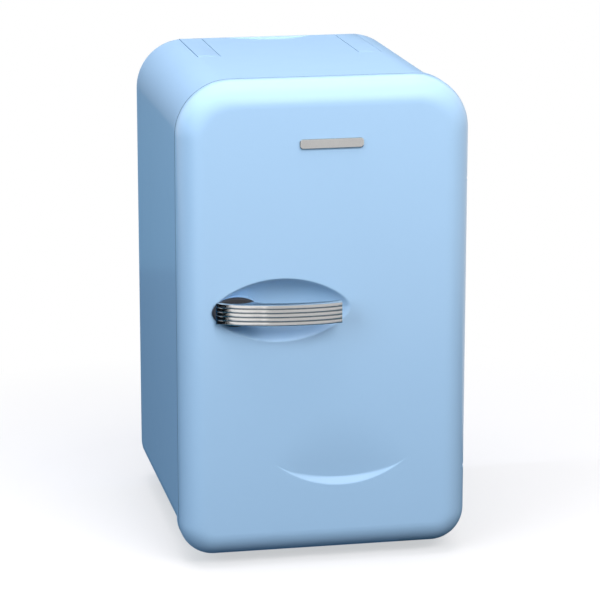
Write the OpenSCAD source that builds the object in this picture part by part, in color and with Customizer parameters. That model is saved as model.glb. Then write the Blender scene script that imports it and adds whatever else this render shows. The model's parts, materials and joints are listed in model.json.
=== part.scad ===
// Countertop thermoelectric mini fridge with a rounded retro body, a cantilevered
// front handle and a folding carry handle. Front faces -Y, hinges at +X, floor at Z = 0.

/* [Overall size] */
// Width of the door
door_w = 256; // [246:1:270]
// Height of the whole object above the floor
total_h = 430; // [415:1:460]
// Depth of the case behind the door
case_d = 252; // [248:1:275]
// How far the case stands in from the door outline, all round
case_inset = 3; // [2:0.5:4]
// Height of the door's bottom edge above the floor
door_lift = 9; // [7:0.5:13]

/* [Corners and edges] */
// Radius of the two top corners of the door
top_r = 48; // [44:1:52]
// Radius of the two bottom corners of the door
bottom_r = 30; // [28:1:34]
// Radius of the door's front edge
front_edge_r = 22; // [18:1:24]
// Radius of the case's rear edge
rear_edge_r = 13; // [10:1:14]

/* [Walls] */
// Wall of the moulded outer shells
shell_t = 3; // [2.5:0.1:3.5]
// Wall of the inner liner and the door liner
liner_t = 2; // [1.6:0.1:2.4]
// Thickness of the insulation foam at the sides
foam_t = 24; // [22:1:26]
// Thickness of the case's rear wall round the service opening
rear_wall_t = 7.5; // [7:0.1:8.5]
// Clearance between pieces that nest in each other
fit = 0.3; // [0.2:0.05:0.4]

/* [Door] */
// Thickness of the door without its gasket
door_t = 34.5; // [33:0.5:38]
// Gap between the case rim and the back of the door
door_gap = 1.5; // [1.2:0.1:2]
// Distance of the hinge axis from the door's side
hinge_side = 11; // [10:0.5:12]
// Distance of the hinge axis from the door's back
hinge_back = 13; // [12.5:0.5:14]
// Diameter of the hinge pins
pin_d = 6; // [5:0.5:7]
// Running clearance of a pin in its bush, on the radius
run_fit = 0.05; // [0.03:0.01:0.08]
// Height of the lower hinge above the floor
hinge_low_z = 78; // [72:1:90]
// Distance of the upper hinge below the top
hinge_high_drop = 92; // [86:1:100]

/* [Finger dish and handle] */
// Half length of the elliptical finger dish
dish_a = 60; // [54:1:64]
// Half height of the finger dish
dish_b = 26.5; // [24:0.5:28]
// Depth of the finger dish
dish_depth = 19.7; // [17:0.1:21]
// Distance of the dish's middle from the door's left side
dish_in = 87.5; // [82:0.5:94]
// Height of the dish and handle above the floor
dish_z = 232; // [220:1:245]
// How far the handle stands out from the door face
handle_reach = 23.5; // [21:0.5:26]
// Height of the handle bar
handle_h = 19; // [16:0.5:20]
// Thickness of the handle bar at its free end
handle_t = 6.5; // [5:0.5:8]
// Number of ribs along the handle
handle_ribs = 5; // [3:1:5]

/* [Smile recess] */
// Radius of the recess's lower lip
smile_r = 90; // [84:1:94]
// Height of the lip's lowest point above the floor
smile_z = 71.4; // [69:0.2:76]
// Depth of the recess above the lip
smile_depth = 4.4; // [3.6:0.2:6]
// Sideways place of the recess
smile_x = 13; // [8:0.5:16]

/* [Carry handle] */
// Distance of each arm's outer side from the case's side
arm_side = 41; // [37:1:45]
// Width of each arm
arm_w = 20; // [17:0.5:21]
// Thickness of the arms
arm_t = 10; // [9:0.5:11]
// Front end of the arms, behind the case rim
arm_front = 131; // [124:1:138]
// Thickness of the grip bar at the rear edge
grip_t = 14; // [13.2:0.2:16]
// Height of the grip bar
grip_h = 18; // [16:0.5:20]
// Diameter of the carry handle's pins
arm_pin_d = 5; // [4:0.5:6]

/* [Cabin] */
// Depth of the cabin behind the case rim
cabin_d = 158; // [152:1:160]
// Radius of the cabin's corners
cabin_r = 14; // [12:1:18]
// Height of the shelf above the floor
shelf_z = 205; // [190:1:208]
// Height of the middle of the cooling unit above the floor
cool_z = 272; // [268:1:285]

/* [Cooling unit] */
// Side of the cold fan
cold_fan_w = 60; // [56:1:62]
// Thickness of the cold fan
cold_fan_t = 15; // [12:1:16]
// Side of the hot fan
hot_fan_w = 92; // [84:1:94]
// Thickness of the hot fan
hot_fan_t = 25; // [22:1:26]
// Side of the cold sink
cold_sink_w = 80; // [72:1:84]
// Side of the hot sink
hot_sink_w = 100; // [92:1:104]
// Share of the room behind the cabin that the hot sink's fins take
hot_fin_share = 0.49; // [0.44:0.01:0.52]
// Number of fins on the hot sink
hot_fins = 15; // [11:1:19]
// Side of the Peltier module
peltier_w = 40; // [36:1:44]
// Number of blades on each fan
blades = 7; // [5:1:9]

/* [Feet] */
// Diameter of the feet
foot_d = 28; // [24:1:32]
// Distance of the feet's middle from the case's side
foot_side = 43; // [39:1:51]
// Distance of the front feet behind the case rim, and of the rear ones before the back
foot_y = 24; // [22:1:34]

/* [Hidden] */

$fn = 64;
over = 1;                                   // how far a cut runs past a face

blue = "lightskyblue";
white = "whitesmoke";
metal = "silver";
black = [0.08, 0.08, 0.09];

// Case, in the frame whose middle is the middle of the whole depth
case_w = door_w - 2*case_inset;
case_z0 = door_lift + case_inset;
case_z1 = total_h - case_inset;
case_top_r = top_r - case_inset;
case_bottom_r = bottom_r - case_inset;
rim_y = (door_gap + door_t + handle_reach - case_d)/2;
back_y = rim_y + case_d;
foot_x = case_w/2 - foot_side;

// Cabin
wall = shell_t + foam_t + liner_t + 2*fit;
cabin_w = case_w - 2*wall;
cabin_z0 = case_z0 + wall;
cabin_z1 = case_z1 - wall;
cabin_back = rim_y + cabin_d;
flange_t = 3.5;

// Door
door_back = rim_y - door_gap;
door_face = door_back - door_t;
hinge_x = door_w/2 - hinge_side;
hinge_y = door_back - hinge_back;
hinge_zs = [hinge_low_z, total_h - hinge_high_drop];
tab_t = 2.5;                                // hinge tab
leaf_t = 2;                                 // hinge leaf
leaf_w = 14;
leaf_h = 40;
leaf_x = hinge_x - 2.5;                     // middle of the leaf
tab_r = 4.5;
pin_l = 13;
bush_r = pin_d/2 + 2;
boss_r = bush_r + 3;
slot_gap = 0.5;
door_open = 120;                            // how far the door opens
gasket_in = cabin_w/2 + 1.5;                // inner half width of the gasket
gasket_w = 9.5;
gasket_t = 6.5;
groove_d = gasket_t - door_gap + 0.1;
gasket_z0 = cabin_z0 - 1.5;                 // inner outline of the gasket
gasket_z1 = cabin_z1 + 1.5;
gasket_r = cabin_r;
pan_d = 13;                                 // raised middle of the door liner
pan_gap = 9;                                // its clearance to the cabin walls
rack_d = 34;
rack_h = 46;
rack_t = 2;
rack_w = cabin_w - 2*pan_gap - 9;
pan_w = cabin_w - 2*pan_gap;
pan_z0 = cabin_z0 + pan_gap;
pan_z1 = cabin_z1 - pan_gap;
rack_low = 14;                              // racks above the foot of the liner's raised middle
rack_high = 190;
rack_zs = [pan_z0 + rack_low, pan_z0 + rack_high];
pan_y = door_back + pan_d;
shelf_t = 4;
shelf_in = 52;
shelf_y = rim_y + shelf_in;                 // front of the shelf, clear of the racks
shelf_back = 9;                             // gap behind it for the air
shelf_edge = 12;                            // plain border round its slots
ledge_w = 4;
ledge_h = 4;
shelf_slots = 12;
shelf_pitch = (cabin_w - 2*shelf_edge)/shelf_slots;
shelf_slot_l = (cabin_d - shelf_in - shelf_back - 3*shelf_edge)/2;

// Handle
dish_x = dish_in - door_w/2;
dish_axis = (pow(dish_b, 2) - pow(dish_depth, 2))/(2*dish_depth);
dish_rim = dish_depth + dish_axis;          // largest radius of the dish's revolve
dish_arc = (pow(dish_a, 2) + pow(dish_depth, 2))/(2*dish_depth);
base_t = 3;                                 // oval base under the bar's root
base_r = 13;
base_l = 22;                                // its straight length
base_x = dish_x - 36.5;
rib_d = 1.2;
bar_out = handle_reach - rib_d;
bar_left = dish_x - 57.5;
bar_foot = dish_x - 26;
bar_knee = dish_x - 19.5;
bar_right = dish_x + 49.5;
bar_belly = dish_x + 28.5;
bar_bend = dish_x - 36;
bar_heel = [dish_x - 20.5, dish_x - 22.5];
bar_steps = 12;
handle_screw_x = [dish_x - 38, dish_x - 30];
handle_seat_y = door_face + dish_depth;
screw_boss_r = 6;
screw_bite = 4;

// Badge
badge_w = 56;
badge_h = 9;
badge_t = 2;
badge_x = 3.5;
badge_z = total_h - 54;

// Smile
smile_cz = smile_z + smile_r;
lip_slope = tan(53);                        // the lip rises this much per depth
hollow_r = 500;
hollow_tilt = 6;

// Carry handle
arm_in = case_w/2 - arm_side - arm_w;
arm_end_r = 9;
arm_drop = 5.5;                             // pivot below the top surface
arm_y = rim_y + arm_front + sqrt(pow(arm_end_r, 2) - pow(arm_drop, 2));
arm_z = case_z1 - arm_drop;
grip_y = back_y - grip_t;
grip_z = case_z1 - grip_h;
arm_gap = 0.3;
scoop_w = 78;
scoop_run = 18;
scoop_top_r = (pow(scoop_w/2, 2) + pow(scoop_run, 2))/(2*scoop_run);
scoop_up = 30;
scoop_r = sqrt(pow(scoop_top_r, 2) + pow(scoop_up, 2));

// Seat of the rear cover
plate_t = 2.5;
cover_set = 2;                              // the cover lies this deep in the rear face
plate_y = back_y - cover_set - plate_t;
lip_t = rear_wall_t - cover_set - plate_t;

// Screws
screw_r = 1.9;
head_r = 3.6;
head_t = 2.2;
screw_l = 12;
fan_bite = 6;
pin_seat = 3;

// Cooling unit, from the cabin to the back
cold_base_t = 4;
cold_fin_h = 14;
sink_lap = 2;                               // the cold sink's base stands this far off the wall
block_w = 46;
cold_base_y = cabin_back - sink_lap - cold_base_t;
cold_fan_y = cold_base_y - cold_fin_h - cold_fan_t;
cover_w = 112;
cover_t = 2;
cover_front_y = cold_fan_y - head_t - cover_t - 0.8;
side_slot_in = 14;                          // ends of the cover's side slots
side_slot_out = 10;
block_y = cabin_back - sink_lap;
peltier_t = 3.9;
hot_base_t = 6;
hot_gap = 4.3;                              // from the hot fan to the rear cover
hot_fan_y = plate_y - hot_gap - hot_fan_t;
rear_room = hot_fan_y - hot_base_t - peltier_t - 1 - cabin_back;
hot_fin_h = hot_fin_share*rear_room;
hot_y = hot_fan_y - hot_fin_h - hot_base_t;
peltier_y = hot_y - peltier_t;
block_l = peltier_y - block_y;
foam_back = peltier_y - 1;
fan_hole = 0.82;                            // hole square of a fan, as a share of its side

// Rear cover
cover_in = 20;                              // recess inside the case outline
lip = 9;
recess_w = case_w - 2*cover_in;
recess_z0 = case_z0 + cover_in;
recess_z1 = grip_z - 2*shell_t - 8;
recess_r = 12;
slot_h = 4;
board_z = 118;
board_w = 110;
board_h = 76;
standoff_l = 8;
inlet_z = 62;
switch_x = -52;
ac_x = 42;
dc_x = 6;
lamp_x = -22;
lamp_zs = [inlet_z - 5, inlet_z + 5];
lamp_r = 2;
switch_w = 20;
switch_h = 12;
ac_w = 22;
ac_h = 12;
ac_pin = 3.4;
dc_r = 5.2;
bezel_t = 1.5;
rocker_r = 8;
rocker_h = 8;
rocker_in = 3.4;                            // the rocker's axis lies this deep in the bezel
board_t = 1.6;
coil = [30, 26, 32];                        // the converter's block, across, deep, high
coil_x = 1;
can_r = 6;
can_l = 24;
can_x = [-40, -27];
can_z = 12;
fin_plate = [4, 24, 44];
fin_plate_x = 32;
terminal = [12, 9, 8];
terminal_x = -42;
terminal_z = [-20, -4];
vent_x = 68;
vent_l = 34;

// ---- helpers -------------------------------------------------------------

// Half section of a slab with its far edge rounded by e
module edge_profile(r, d, e)
    if (e > 0) {
        square([r, d - e]);
        square([r - e, d]);
        translate([r - e, d - e]) intersection() { circle(e); square(e); }
    } else square([r, d]);

// Quarter of a slab's corner, in the quadrant +X +Z
module slab_corner(r, d, e)
    rotate([90, 0, 0]) mirror([0, 0, 1])
        rotate_extrude(angle = 90) edge_profile(r, d, e);

// Rounded slab seen from the front: from y = 0 back to y = d
module slab(w, z0, z1, rt, rb, d, e = 0) {
    zt = z1 - rt;
    zb = z0 + rb;
    translate([-w/2 + rb, 0, zb]) cube([w - 2*rb, d, zt - zb]);
    for (s = [0, 1]) mirror([s, 0, 0]) {
        translate([w/2 - rb, 0, zb]) linear_extrude(zt - zb) edge_profile(rb, d, e);
        translate([w/2 - rt, 0, zt]) slab_corner(rt, d, e);
        translate([w/2 - rb, 0, zb]) mirror([0, 0, 1]) slab_corner(rb, d, e);
    }
    translate([-w/2 + rt, 0, zt]) strip(w - 2*rt, rt, d, e);
    translate([-w/2 + rb, 0, zb]) mirror([0, 0, 1]) strip(w - 2*rb, rb, d, e);
}

// Straight edge of a slab, l long in X, rising r in Z
module strip(l, r, d, e)
    translate([l, 0, 0]) rotate([0, -90, 0]) linear_extrude(l) edge_profile(r, d, e);

// Flat rounded plate, centred on x = 0 and from z0 to z1
module plate(w, z0, z1, r, t) slab(w, z0, z1, r, r, t);

// Flat ring between two rounded outlines, from y back by t
module ring(w, z0, z1, r, band, y, t)
    translate([0, y, 0]) difference() {
        plate(w, z0, z1, r, t);
        translate([0, -over, 0])
            plate(w - 2*band, z0 + band, z1 - band, r - band, t + 2*over);
    }

// Cylinder along +Y from y = 0
module rod_y(r, l) rotate([-90, 0, 0]) cylinder(r = r, h = l);

// Cylinder along +X from x = 0
module rod_x(r, l) rotate([0, 90, 0]) cylinder(r = r, h = l);

// Screw along +Y: its head ends at y = 0 and the shank runs from there by l
module screw_y(l) {
    translate([0, -head_t, 0]) difference() {
        rod_y(head_r, head_t);
        for (a = [0, 90]) rotate([0, a, 0])
            translate([-head_r*0.6, -over, -0.4]) cube([head_r*1.2, over + 1, 0.8]);
    }
    rod_y(screw_r, l);
}

// The case outline set in by o, from the rim back to y1
module case_solid(o, y0, y1)
    translate([0, y0, 0])
        slab(case_w - 2*o, case_z0 + o, case_z1 - o, case_top_r - o, case_bottom_r - o,
            y1 - y0, rear_edge_r - min(o, rear_edge_r - 1));

// Space that the carry handle lies in, grown by g all round
module carry_space(g) {
    for (s = [0, 1]) mirror([s, 0, 0]) translate([arm_in - g, arm_y, 0]) {
        translate([0, 0, arm_z]) rod_x(arm_end_r + g, arm_w + 2*g);
        translate([0, 0, case_z1 - arm_t - g])
            cube([arm_w + 2*g, grip_y - arm_y, arm_t + g + over]);
    }
    translate([-arm_in - arm_w - g, grip_y - g, grip_z - g])
        cube([2*(arm_in + arm_w + g), grip_t + g + over, grip_h + g + over]);
}

// Extrude a section drawn in (Y, Z) along +X by l
module yz_extrude(l) rotate([90, 0, 90]) linear_extrude(l) children();

// Finger scoop before the grip bar, grown by g
module scoop(g)
    intersection() {
        translate([0, grip_y - scoop_run + scoop_top_r, case_z1 + scoop_up])
            sphere(r = scoop_r + g, $fn = 96);
        translate([-scoop_w, grip_y - scoop_run - 2*shell_t, grip_z - g - 1])
            cube([2*scoop_w, scoop_run + 2*shell_t + 0.5, grip_h + scoop_up]);
    }

// ---- case ----------------------------------------------------------------

module outer_case() color(blue) difference() {
    union() {
        difference() {
            case_solid(0, rim_y, back_y);
            case_solid(shell_t, rim_y - over, back_y - rear_wall_t);
        }
        intersection() {
            case_solid(shell_t/2, rim_y + flange_t, back_y);
            union() {
                carry_space(arm_gap + shell_t);
                scoop(shell_t);
            }
        }
        for (p = foot_places()) translate([p[0], p[1], case_z0]) cylinder(r = 8, h = 9);
    }
    carry_space(arm_gap);
    scoop(0);
    translate([0, plate_y, 0])
        plate(recess_w, recess_z0, recess_z1, recess_r, plate_t + cover_set + over);
    translate([0, back_y - rear_wall_t - over, 0])
        plate(recess_w - 2*lip, recess_z0 + lip, recess_z1 - lip, 4, rear_wall_t + over);
    for (p = foot_places()) translate([p[0], p[1], case_z0 - over])
        cylinder(r = screw_r, h = 9 + over - 1);
    for (p = cover_screw_places()) translate([p[0], back_y - rear_wall_t - over, p[1]])
        rod_y(screw_r, rear_wall_t + over);
    for (s = [-1, 1]) translate([s*(arm_in + arm_w/2) - arm_w/2 - 4, arm_y, arm_z])
        rod_x(arm_pin_d/2, arm_w + 8);
}

function foot_places() = [for (x = [-foot_x, foot_x], y = [rim_y + foot_y, back_y - foot_y])
    [x, y]];

function cover_screw_places() = [
    for (x = [-1, 1], z = [0, 0.5, 1])
        [x*(recess_w - lip)/2, recess_z0 + recess_r + z*(recess_z1 - recess_z0 - 2*recess_r)]];

module inner_liner() color(white) difference() {
    union() {
        translate([0, rim_y, 0])
            slab(cabin_w + 2*liner_t, cabin_z0 - liner_t, cabin_z1 + liner_t,
                cabin_r + liner_t, cabin_r + liner_t, cabin_d + liner_t, 10);
        translate([0, rim_y, 0])
            slab(case_w - 2*shell_t - 2*fit, case_z0 + shell_t + fit, case_z1 - shell_t - fit,
                case_top_r - shell_t - fit, case_bottom_r - shell_t - fit, flange_t);
        for (s = [0, 1]) mirror([s, 0, 0])
            translate([cabin_w/2 - ledge_w, shelf_y, shelf_z - ledge_h])
                cube([ledge_w + liner_t/2, cabin_back - shelf_y + liner_t/2, ledge_h]);
    }
    translate([0, rim_y - over, 0])
        slab(cabin_w, cabin_z0, cabin_z1, cabin_r, cabin_r, cabin_d + over, 8);
    translate([-block_w/2 - fit, cabin_back - over, cool_z - block_w/2 - fit])
        cube([block_w + 2*fit, liner_t + 2*over, block_w + 2*fit]);
    for (z = hinge_zs) translate([leaf_x - leaf_w/2, rim_y - over, z - leaf_h/2])
        cube([leaf_w, leaf_t + over, leaf_h]);
    hinge_screw_holes();
}

module hinge_screw_holes()
    for (z = hinge_zs, s = [-1, 1]) translate([leaf_x, rim_y + leaf_t - over, z + s*leaf_h/3])
        rod_y(screw_r, screw_l + over);

module case_foam() color("khaki") difference() {
    translate([0, rim_y + flange_t + fit, 0])
        slab(case_w - 2*(shell_t + fit), case_z0 + shell_t + fit, case_z1 - shell_t - fit,
            case_top_r - shell_t - fit, case_bottom_r - shell_t - fit,
            foam_back - rim_y - flange_t - fit);
    translate([0, rim_y, 0])
        slab(cabin_w + 2*(liner_t + fit), cabin_z0 - liner_t - fit, cabin_z1 + liner_t + fit,
            cabin_r + liner_t + fit, cabin_r + liner_t + fit, cabin_d + liner_t + fit);
    translate([-block_w/2 - fit, cabin_back, cool_z - block_w/2 - fit])
        cube([block_w + 2*fit, foam_back + over - cabin_back, block_w + 2*fit]);
    carry_space(arm_gap + shell_t + fit);
    for (p = foot_places()) translate([p[0], p[1], case_z0]) cylinder(r = 8 + fit, h = 9 + fit);
    hinge_screw_holes();
}

// ---- rear cover ----------------------------------------------------------

// Arc slots in rings round the Y axis, from y = -over to y = t + over
module ring_slots(r_in, r_out, rings, t, bar)
    for (i = [0 : rings - 1]) {
        step = (r_out - r_in)/rings;
        difference() {
            translate([0, -over, 0]) rod_y(r_in + (i + 1)*step, t + 2*over);
            translate([0, -2*over, 0]) rod_y(r_in + (i + 1)*step - slot_h, t + 4*over);
            for (a = [45, 135]) rotate([0, a, 0])
                translate([-r_out - over, -2*over, -bar/2])
                    cube([2*r_out + 2*over, t + 4*over, bar]);
        }
    }

module rear_cover() color("gainsboro") difference() {
    translate([0, plate_y, 0])
        plate(recess_w - 2*fit, recess_z0 + fit, recess_z1 - fit, recess_r - fit, plate_t);
    translate([0, plate_y, cool_z]) ring_slots(12, hot_fan_w/2 - 3, 4, plate_t, 5);
    for (s = [-1, 1], i = [0 : 6])
        translate([s*vent_x - vent_l/2, plate_y - over, board_z - 24 + i*2*slot_h])
            cube([vent_l, plate_t + 2*over, slot_h]);
    translate([switch_x - switch_w/2, plate_y - over, inlet_z - switch_h/2])
        cube([switch_w, plate_t + 2*over, switch_h]);
    translate([ac_x - ac_w/2, plate_y - over, inlet_z - ac_h/2])
        cube([ac_w, plate_t + 2*over, ac_h]);
    translate([dc_x, plate_y - over, inlet_z]) rod_y(dc_r, plate_t + 2*over);
    for (z = lamp_zs) translate([lamp_x, plate_y - over, z]) rod_y(lamp_r, plate_t + 2*over);
    for (p = cover_screw_places()) translate([p[0], plate_y - over, p[1]])
        rod_y(screw_r, plate_t + 2*over);
}

module rear_cover_screws() color(metal)
    for (p = cover_screw_places()) translate([p[0], plate_y + plate_t, p[1]])
        mirror([0, 1, 0]) screw_y(plate_t + lip_t);

// ---- feet ----------------------------------------------------------------

module foot(p) color("dimgray") translate([p[0], p[1], 0]) difference() {
    translate([0, 0, case_z0]) mirror([0, 0, 1]) rotate_extrude()
        edge_profile(foot_d/2, case_z0, 3);
    translate([0, 0, -over]) cylinder(r = head_r + 0.6, h = 5 + over);
    cylinder(r = screw_r, h = case_z0 + over);
}

module foot_screws() color(metal)
    for (p = foot_places()) translate([p[0], p[1], 5]) rotate([90, 0, 0])
        screw_y(case_z0 - 5 + 7);

// ---- hinges --------------------------------------------------------------

// Bracket with its pin pointing up; the upper one is its mirror image
module hinge_bracket(z, up) color(metal) translate([0, 0, z]) {
    difference() {
        translate([leaf_x - leaf_w/2, rim_y, -leaf_h/2]) cube([leaf_w, leaf_t, leaf_h]);
        for (s = [-1, 1]) translate([leaf_x, rim_y - over, s*leaf_h/3]) {
            rod_y(screw_r, leaf_t + 2*over);
            rod_y(head_r, over + leaf_t/2);
        }
    }
    translate([hinge_x, hinge_y, -tab_t/2]) {
        cylinder(r = tab_r, h = tab_t);
        translate([-tab_r, 0, 0]) cube([2*tab_r, rim_y - hinge_y + leaf_t/2, tab_t]);
    }
    translate([hinge_x, hinge_y, 0]) mirror([0, 0, up ? 0 : 1])
        cylinder(r = pin_d/2, h = tab_t/2 + pin_l);
}

module hinge_screws() color(metal)
    for (z = hinge_zs, s = [-1, 1])
        translate([leaf_x, rim_y + leaf_t/2, z + s*leaf_h/3]) {
            rod_y(screw_r, leaf_t/2 + screw_l - over);
            translate([0, -0.8, 0]) rod_y(head_r, 0.8);
        }

module hinge_bush(z, up) color("ivory") translate([hinge_x, hinge_y, z])
    mirror([0, 0, up ? 0 : 1]) translate([0, 0, tab_t/2 + slot_gap]) difference() {
        cylinder(r = bush_r, h = pin_l - 1.5);
        translate([0, 0, -over]) cylinder(r = pin_d/2 + run_fit, h = pin_l + over);
    }

// Space swept by a hinge tab as the door opens, seen from above
module tab_sweep() {
    a = 90 - door_open;
    h = tab_r + slot_gap;
    reach = 3*tab_r + leaf_t;
    edge = h*[sin(a), -cos(a)];
    circle(h);
    polygon([[-h, 0], [-h, reach], [reach, reach], edge + reach*[cos(a), sin(a)], edge, [0, 0]]);
}

// ---- carry handle --------------------------------------------------------

module carry_handle() color(blue) difference() {
    union() {
        for (s = [0, 1]) mirror([s, 0, 0]) translate([arm_in, arm_y, arm_z]) yz_extrude(arm_w) {
            intersection() {
                circle(arm_end_r);
                translate([-2*arm_end_r, -2*arm_end_r])
                    square([4*arm_end_r, 2*arm_end_r + arm_drop]);
            }
            translate([0, arm_drop - arm_t]) square([grip_y - arm_y + over, arm_t]);
        }
        translate([-arm_in - arm_w, grip_y, grip_z]) yz_extrude(2*(arm_in + arm_w))
            edge_profile(grip_t, grip_h, rear_edge_r);
    }
    for (s = [-1, 1]) translate([s*(arm_in + arm_w/2) - arm_w/2 - over, arm_y, arm_z])
        rod_x(arm_pin_d/2 + run_fit, arm_w + 2*over);
}

module carry_handle_pins() color(metal)
    for (s = [-1, 1])
        translate([s*(arm_in + arm_w/2) - arm_w/2 - pin_seat, arm_y, arm_z])
            rod_x(arm_pin_d/2, arm_w + 2*pin_seat);

// ---- cabin ---------------------------------------------------------------

module shelf() color("aliceblue") difference() {
    translate([0, 0, shelf_z]) linear_extrude(shelf_t)
        translate([-cabin_w/2 + fit, shelf_y])
            square([cabin_w - 2*fit, cabin_back - shelf_y - shelf_back]);
    for (i = [0 : shelf_slots - 1], s = [-1, 1])
        translate([(i - (shelf_slots - 1)/2)*shelf_pitch - shelf_pitch/4,
                shelf_y + shelf_edge + (s + 1)/2*(shelf_slot_l + shelf_edge), shelf_z - over])
            cube([shelf_pitch/2, shelf_slot_l, shelf_t + 2*over]);
}

module cold_cover() color(white) difference() {
    cover_box(0);
    cover_box(cover_t);
    translate([0, cover_front_y, cool_z]) ring_slots(8, cold_fan_w/2 + 1, 3, cover_t, 4);
    for (s = [-1, 1], i = [-3 : 3])
        translate([s*cover_w/2 - 2*cover_t, cover_front_y + side_slot_in,
                cool_z + i*2.5*slot_h - slot_h/2])
            cube([4*cover_t, cabin_back - cover_front_y - side_slot_in - side_slot_out, slot_h]);
}

module cover_box(o)
    translate([0, cabin_back + (o > 0 ? over : 0), cool_z]) mirror([0, 1, 0])
        slab(cover_w - 2*o, -cover_w/2 + o, cover_w/2 - o, 16 - o, 16 - o,
            cabin_back - cover_front_y - o + (o > 0 ? over : 0), 8 - o);

// ---- cooling unit --------------------------------------------------------

// Axial fan's frame, from y = 0 back to y = t, its motor plate at the far side
module fan_frame(w, t) color(black) {
    motor_t = 3;
    difference() {
        plate(w, -w/2, w/2, w/12, t);
        translate([0, -over, 0]) difference() {
            rod_y(w*0.47, t + 2*over);
            translate([0, t - motor_t + over, 0]) {
                rod_y(w*0.19, motor_t + 2*over);
                for (a = [20 : 90 : 290]) rotate([0, a, 0])
                    translate([0, 0, -1.5]) cube([w*0.6, motor_t + 2*over, 3]);
            }
        }
        translate([0, -over, 0]) rod_y(1.5 + run_fit, t + 2*over);
        fan_holes(w) translate([0, -over, 0]) rod_y(screw_r, t + 2*over);
    }
}

// Axial fan's rotor: cup, shaft and pitched blades
module fan_rotor(w, t) color([0.16, 0.16, 0.17]) {
    hub_r = w*0.19;
    tip_r = w*0.47 - 1;
    blade_d = t - 6;
    translate([0, 1, 0]) rod_y(hub_r, blade_d);
    translate([0, blade_d, 0]) rod_y(1.5, t - blade_d);
    intersection() {
        translate([0, 1, 0]) rod_y(tip_r, blade_d);
        for (i = [0 : blades - 1]) rotate([0, i*360/blades, 0])
            translate([0, 1 + blade_d/2, 0]) rotate([38, 0, 0])
                translate([hub_r - 1, -blade_d, -0.8]) cube([tip_r, 2*blade_d, 1.6]);
    }
}

module fan_holes(w)
    for (x = [-1, 1], z = [-1, 1])
        translate([x*w*fan_hole/2, 0, z*w*fan_hole/2]) children();

// Finned heat sink: base from y = 0 to y = base, fins on from there
module heat_sink(w, base, fin_h, fins, fin_t) color(metal) {
    translate([-w/2, 0, -w/2]) cube([w, base, w]);
    for (i = [0 : fins - 1])
        translate([-w/2 + i*(w - fin_t)/(fins - 1), base/2, -w/2])
            cube([fin_t, fin_h + base/2, w]);
}

module cold_sink() color(metal) difference() {
    translate([0, block_y, cool_z]) mirror([0, 1, 0])
        heat_sink(cold_sink_w, cold_base_t, cold_fin_h, 13, 1.6);
    translate([0, cold_fan_y, cool_z]) fan_holes(cold_fan_w)
        rod_y(screw_r, cold_fan_t + fan_bite);
}

module hot_sink() color(metal) difference() {
    translate([0, hot_y, cool_z]) heat_sink(hot_sink_w, hot_base_t, hot_fin_h, hot_fins, 1.8);
    translate([0, hot_fan_y - fan_bite, cool_z]) fan_holes(hot_fan_w) rod_y(screw_r, hot_fan_t);
}

module fan_screws() color(metal) {
    translate([0, cold_fan_y, cool_z]) fan_holes(cold_fan_w) screw_y(cold_fan_t + fan_bite);
    translate([0, hot_fan_y + hot_fan_t, cool_z]) mirror([0, 1, 0])
        fan_holes(hot_fan_w) screw_y(hot_fan_t + fan_bite);
}

module spacer_block() color("lightgray")
    translate([-block_w/2, block_y, cool_z - block_w/2]) cube([block_w, block_l, block_w]);

module peltier_module() color(white) translate([0, peltier_y, cool_z]) {
    for (y = [0, peltier_t - 1]) translate([-peltier_w/2, y, -peltier_w/2])
        cube([peltier_w, 1, peltier_w]);
    translate([-peltier_w/2 + 1, 0.5, -peltier_w/2 + 1])
        cube([peltier_w - 2, peltier_t - 1, peltier_w - 2]);
}

// ---- electrics -----------------------------------------------------------

module power_board() translate([0, plate_y - standoff_l, board_z]) mirror([0, 1, 0]) {
    color("darkgreen") difference() {
        translate([-board_w/2, 0, -board_h/2]) cube([board_w, board_t, board_h]);
        for (x = [-1, 1], z = [-1, 1]) translate([x*(board_w/2 - 5), -over, z*(board_h/2 - 5)])
            rod_y(1.5, board_t + 2*over);
    }
    color("goldenrod") on_board(coil_x, 0, coil);
    color(black) for (x = can_x) translate([x, board_t/2, can_z]) rod_y(can_r, can_l);
    color(metal) on_board(fin_plate_x, -2, fin_plate);
    color(white) for (z = terminal_z) on_board(terminal_x, z, terminal);
}

// A block that stands on the board, centred at x and z
module on_board(x, z, size) translate([x - size[0]/2, board_t/2, z - size[2]/2]) cube(size);

module board_standoffs() color("ivory")
    for (x = [-1, 1], z = [-1, 1])
        translate([x*(board_w/2 - 5), plate_y - standoff_l, board_z + z*(board_h/2 - 5)]) {
            rod_y(3, standoff_l);
            translate([0, -board_t, 0]) rod_y(1.5, board_t + 1);
        }

module mode_switch_housing() color(black)
    translate([switch_x, plate_y + plate_t, inlet_z]) difference() {
        union() {
            translate([-switch_w/2 - 2, 0, -switch_h/2 - 2])
                cube([switch_w + 4, bezel_t, switch_h + 4]);
            translate([-switch_w/2, -14, -switch_h/2]) cube([switch_w, 14 + over/2, switch_h]);
        }
        translate([0, bezel_t - rocker_in, -rocker_h/2 - 0.2])
            cylinder(r = rocker_r + 0.3, h = rocker_h + 0.4);
        translate([0, bezel_t - rocker_in, -rocker_h/2 - 1.2])
            cylinder(r = 1.2 + run_fit, h = rocker_h + 2.4);
    }

module mode_rocker() color([0.14, 0.14, 0.15])
    translate([switch_x, plate_y + plate_t + bezel_t - rocker_in, inlet_z]) {
        translate([0, 0, -rocker_h/2]) linear_extrude(rocker_h) intersection() {
            circle(rocker_r);
            polygon([[-2*rocker_r, -rocker_r/2], [2*rocker_r, -rocker_r/2],
                [2*rocker_r, rocker_in + 1.6], [0, rocker_in - 0.6],
                [-2*rocker_r, rocker_in + 1.6]]);
        }
        translate([0, 0, -rocker_h/2 - 1]) cylinder(r = 1.2, h = rocker_h + 2);
    }

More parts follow.
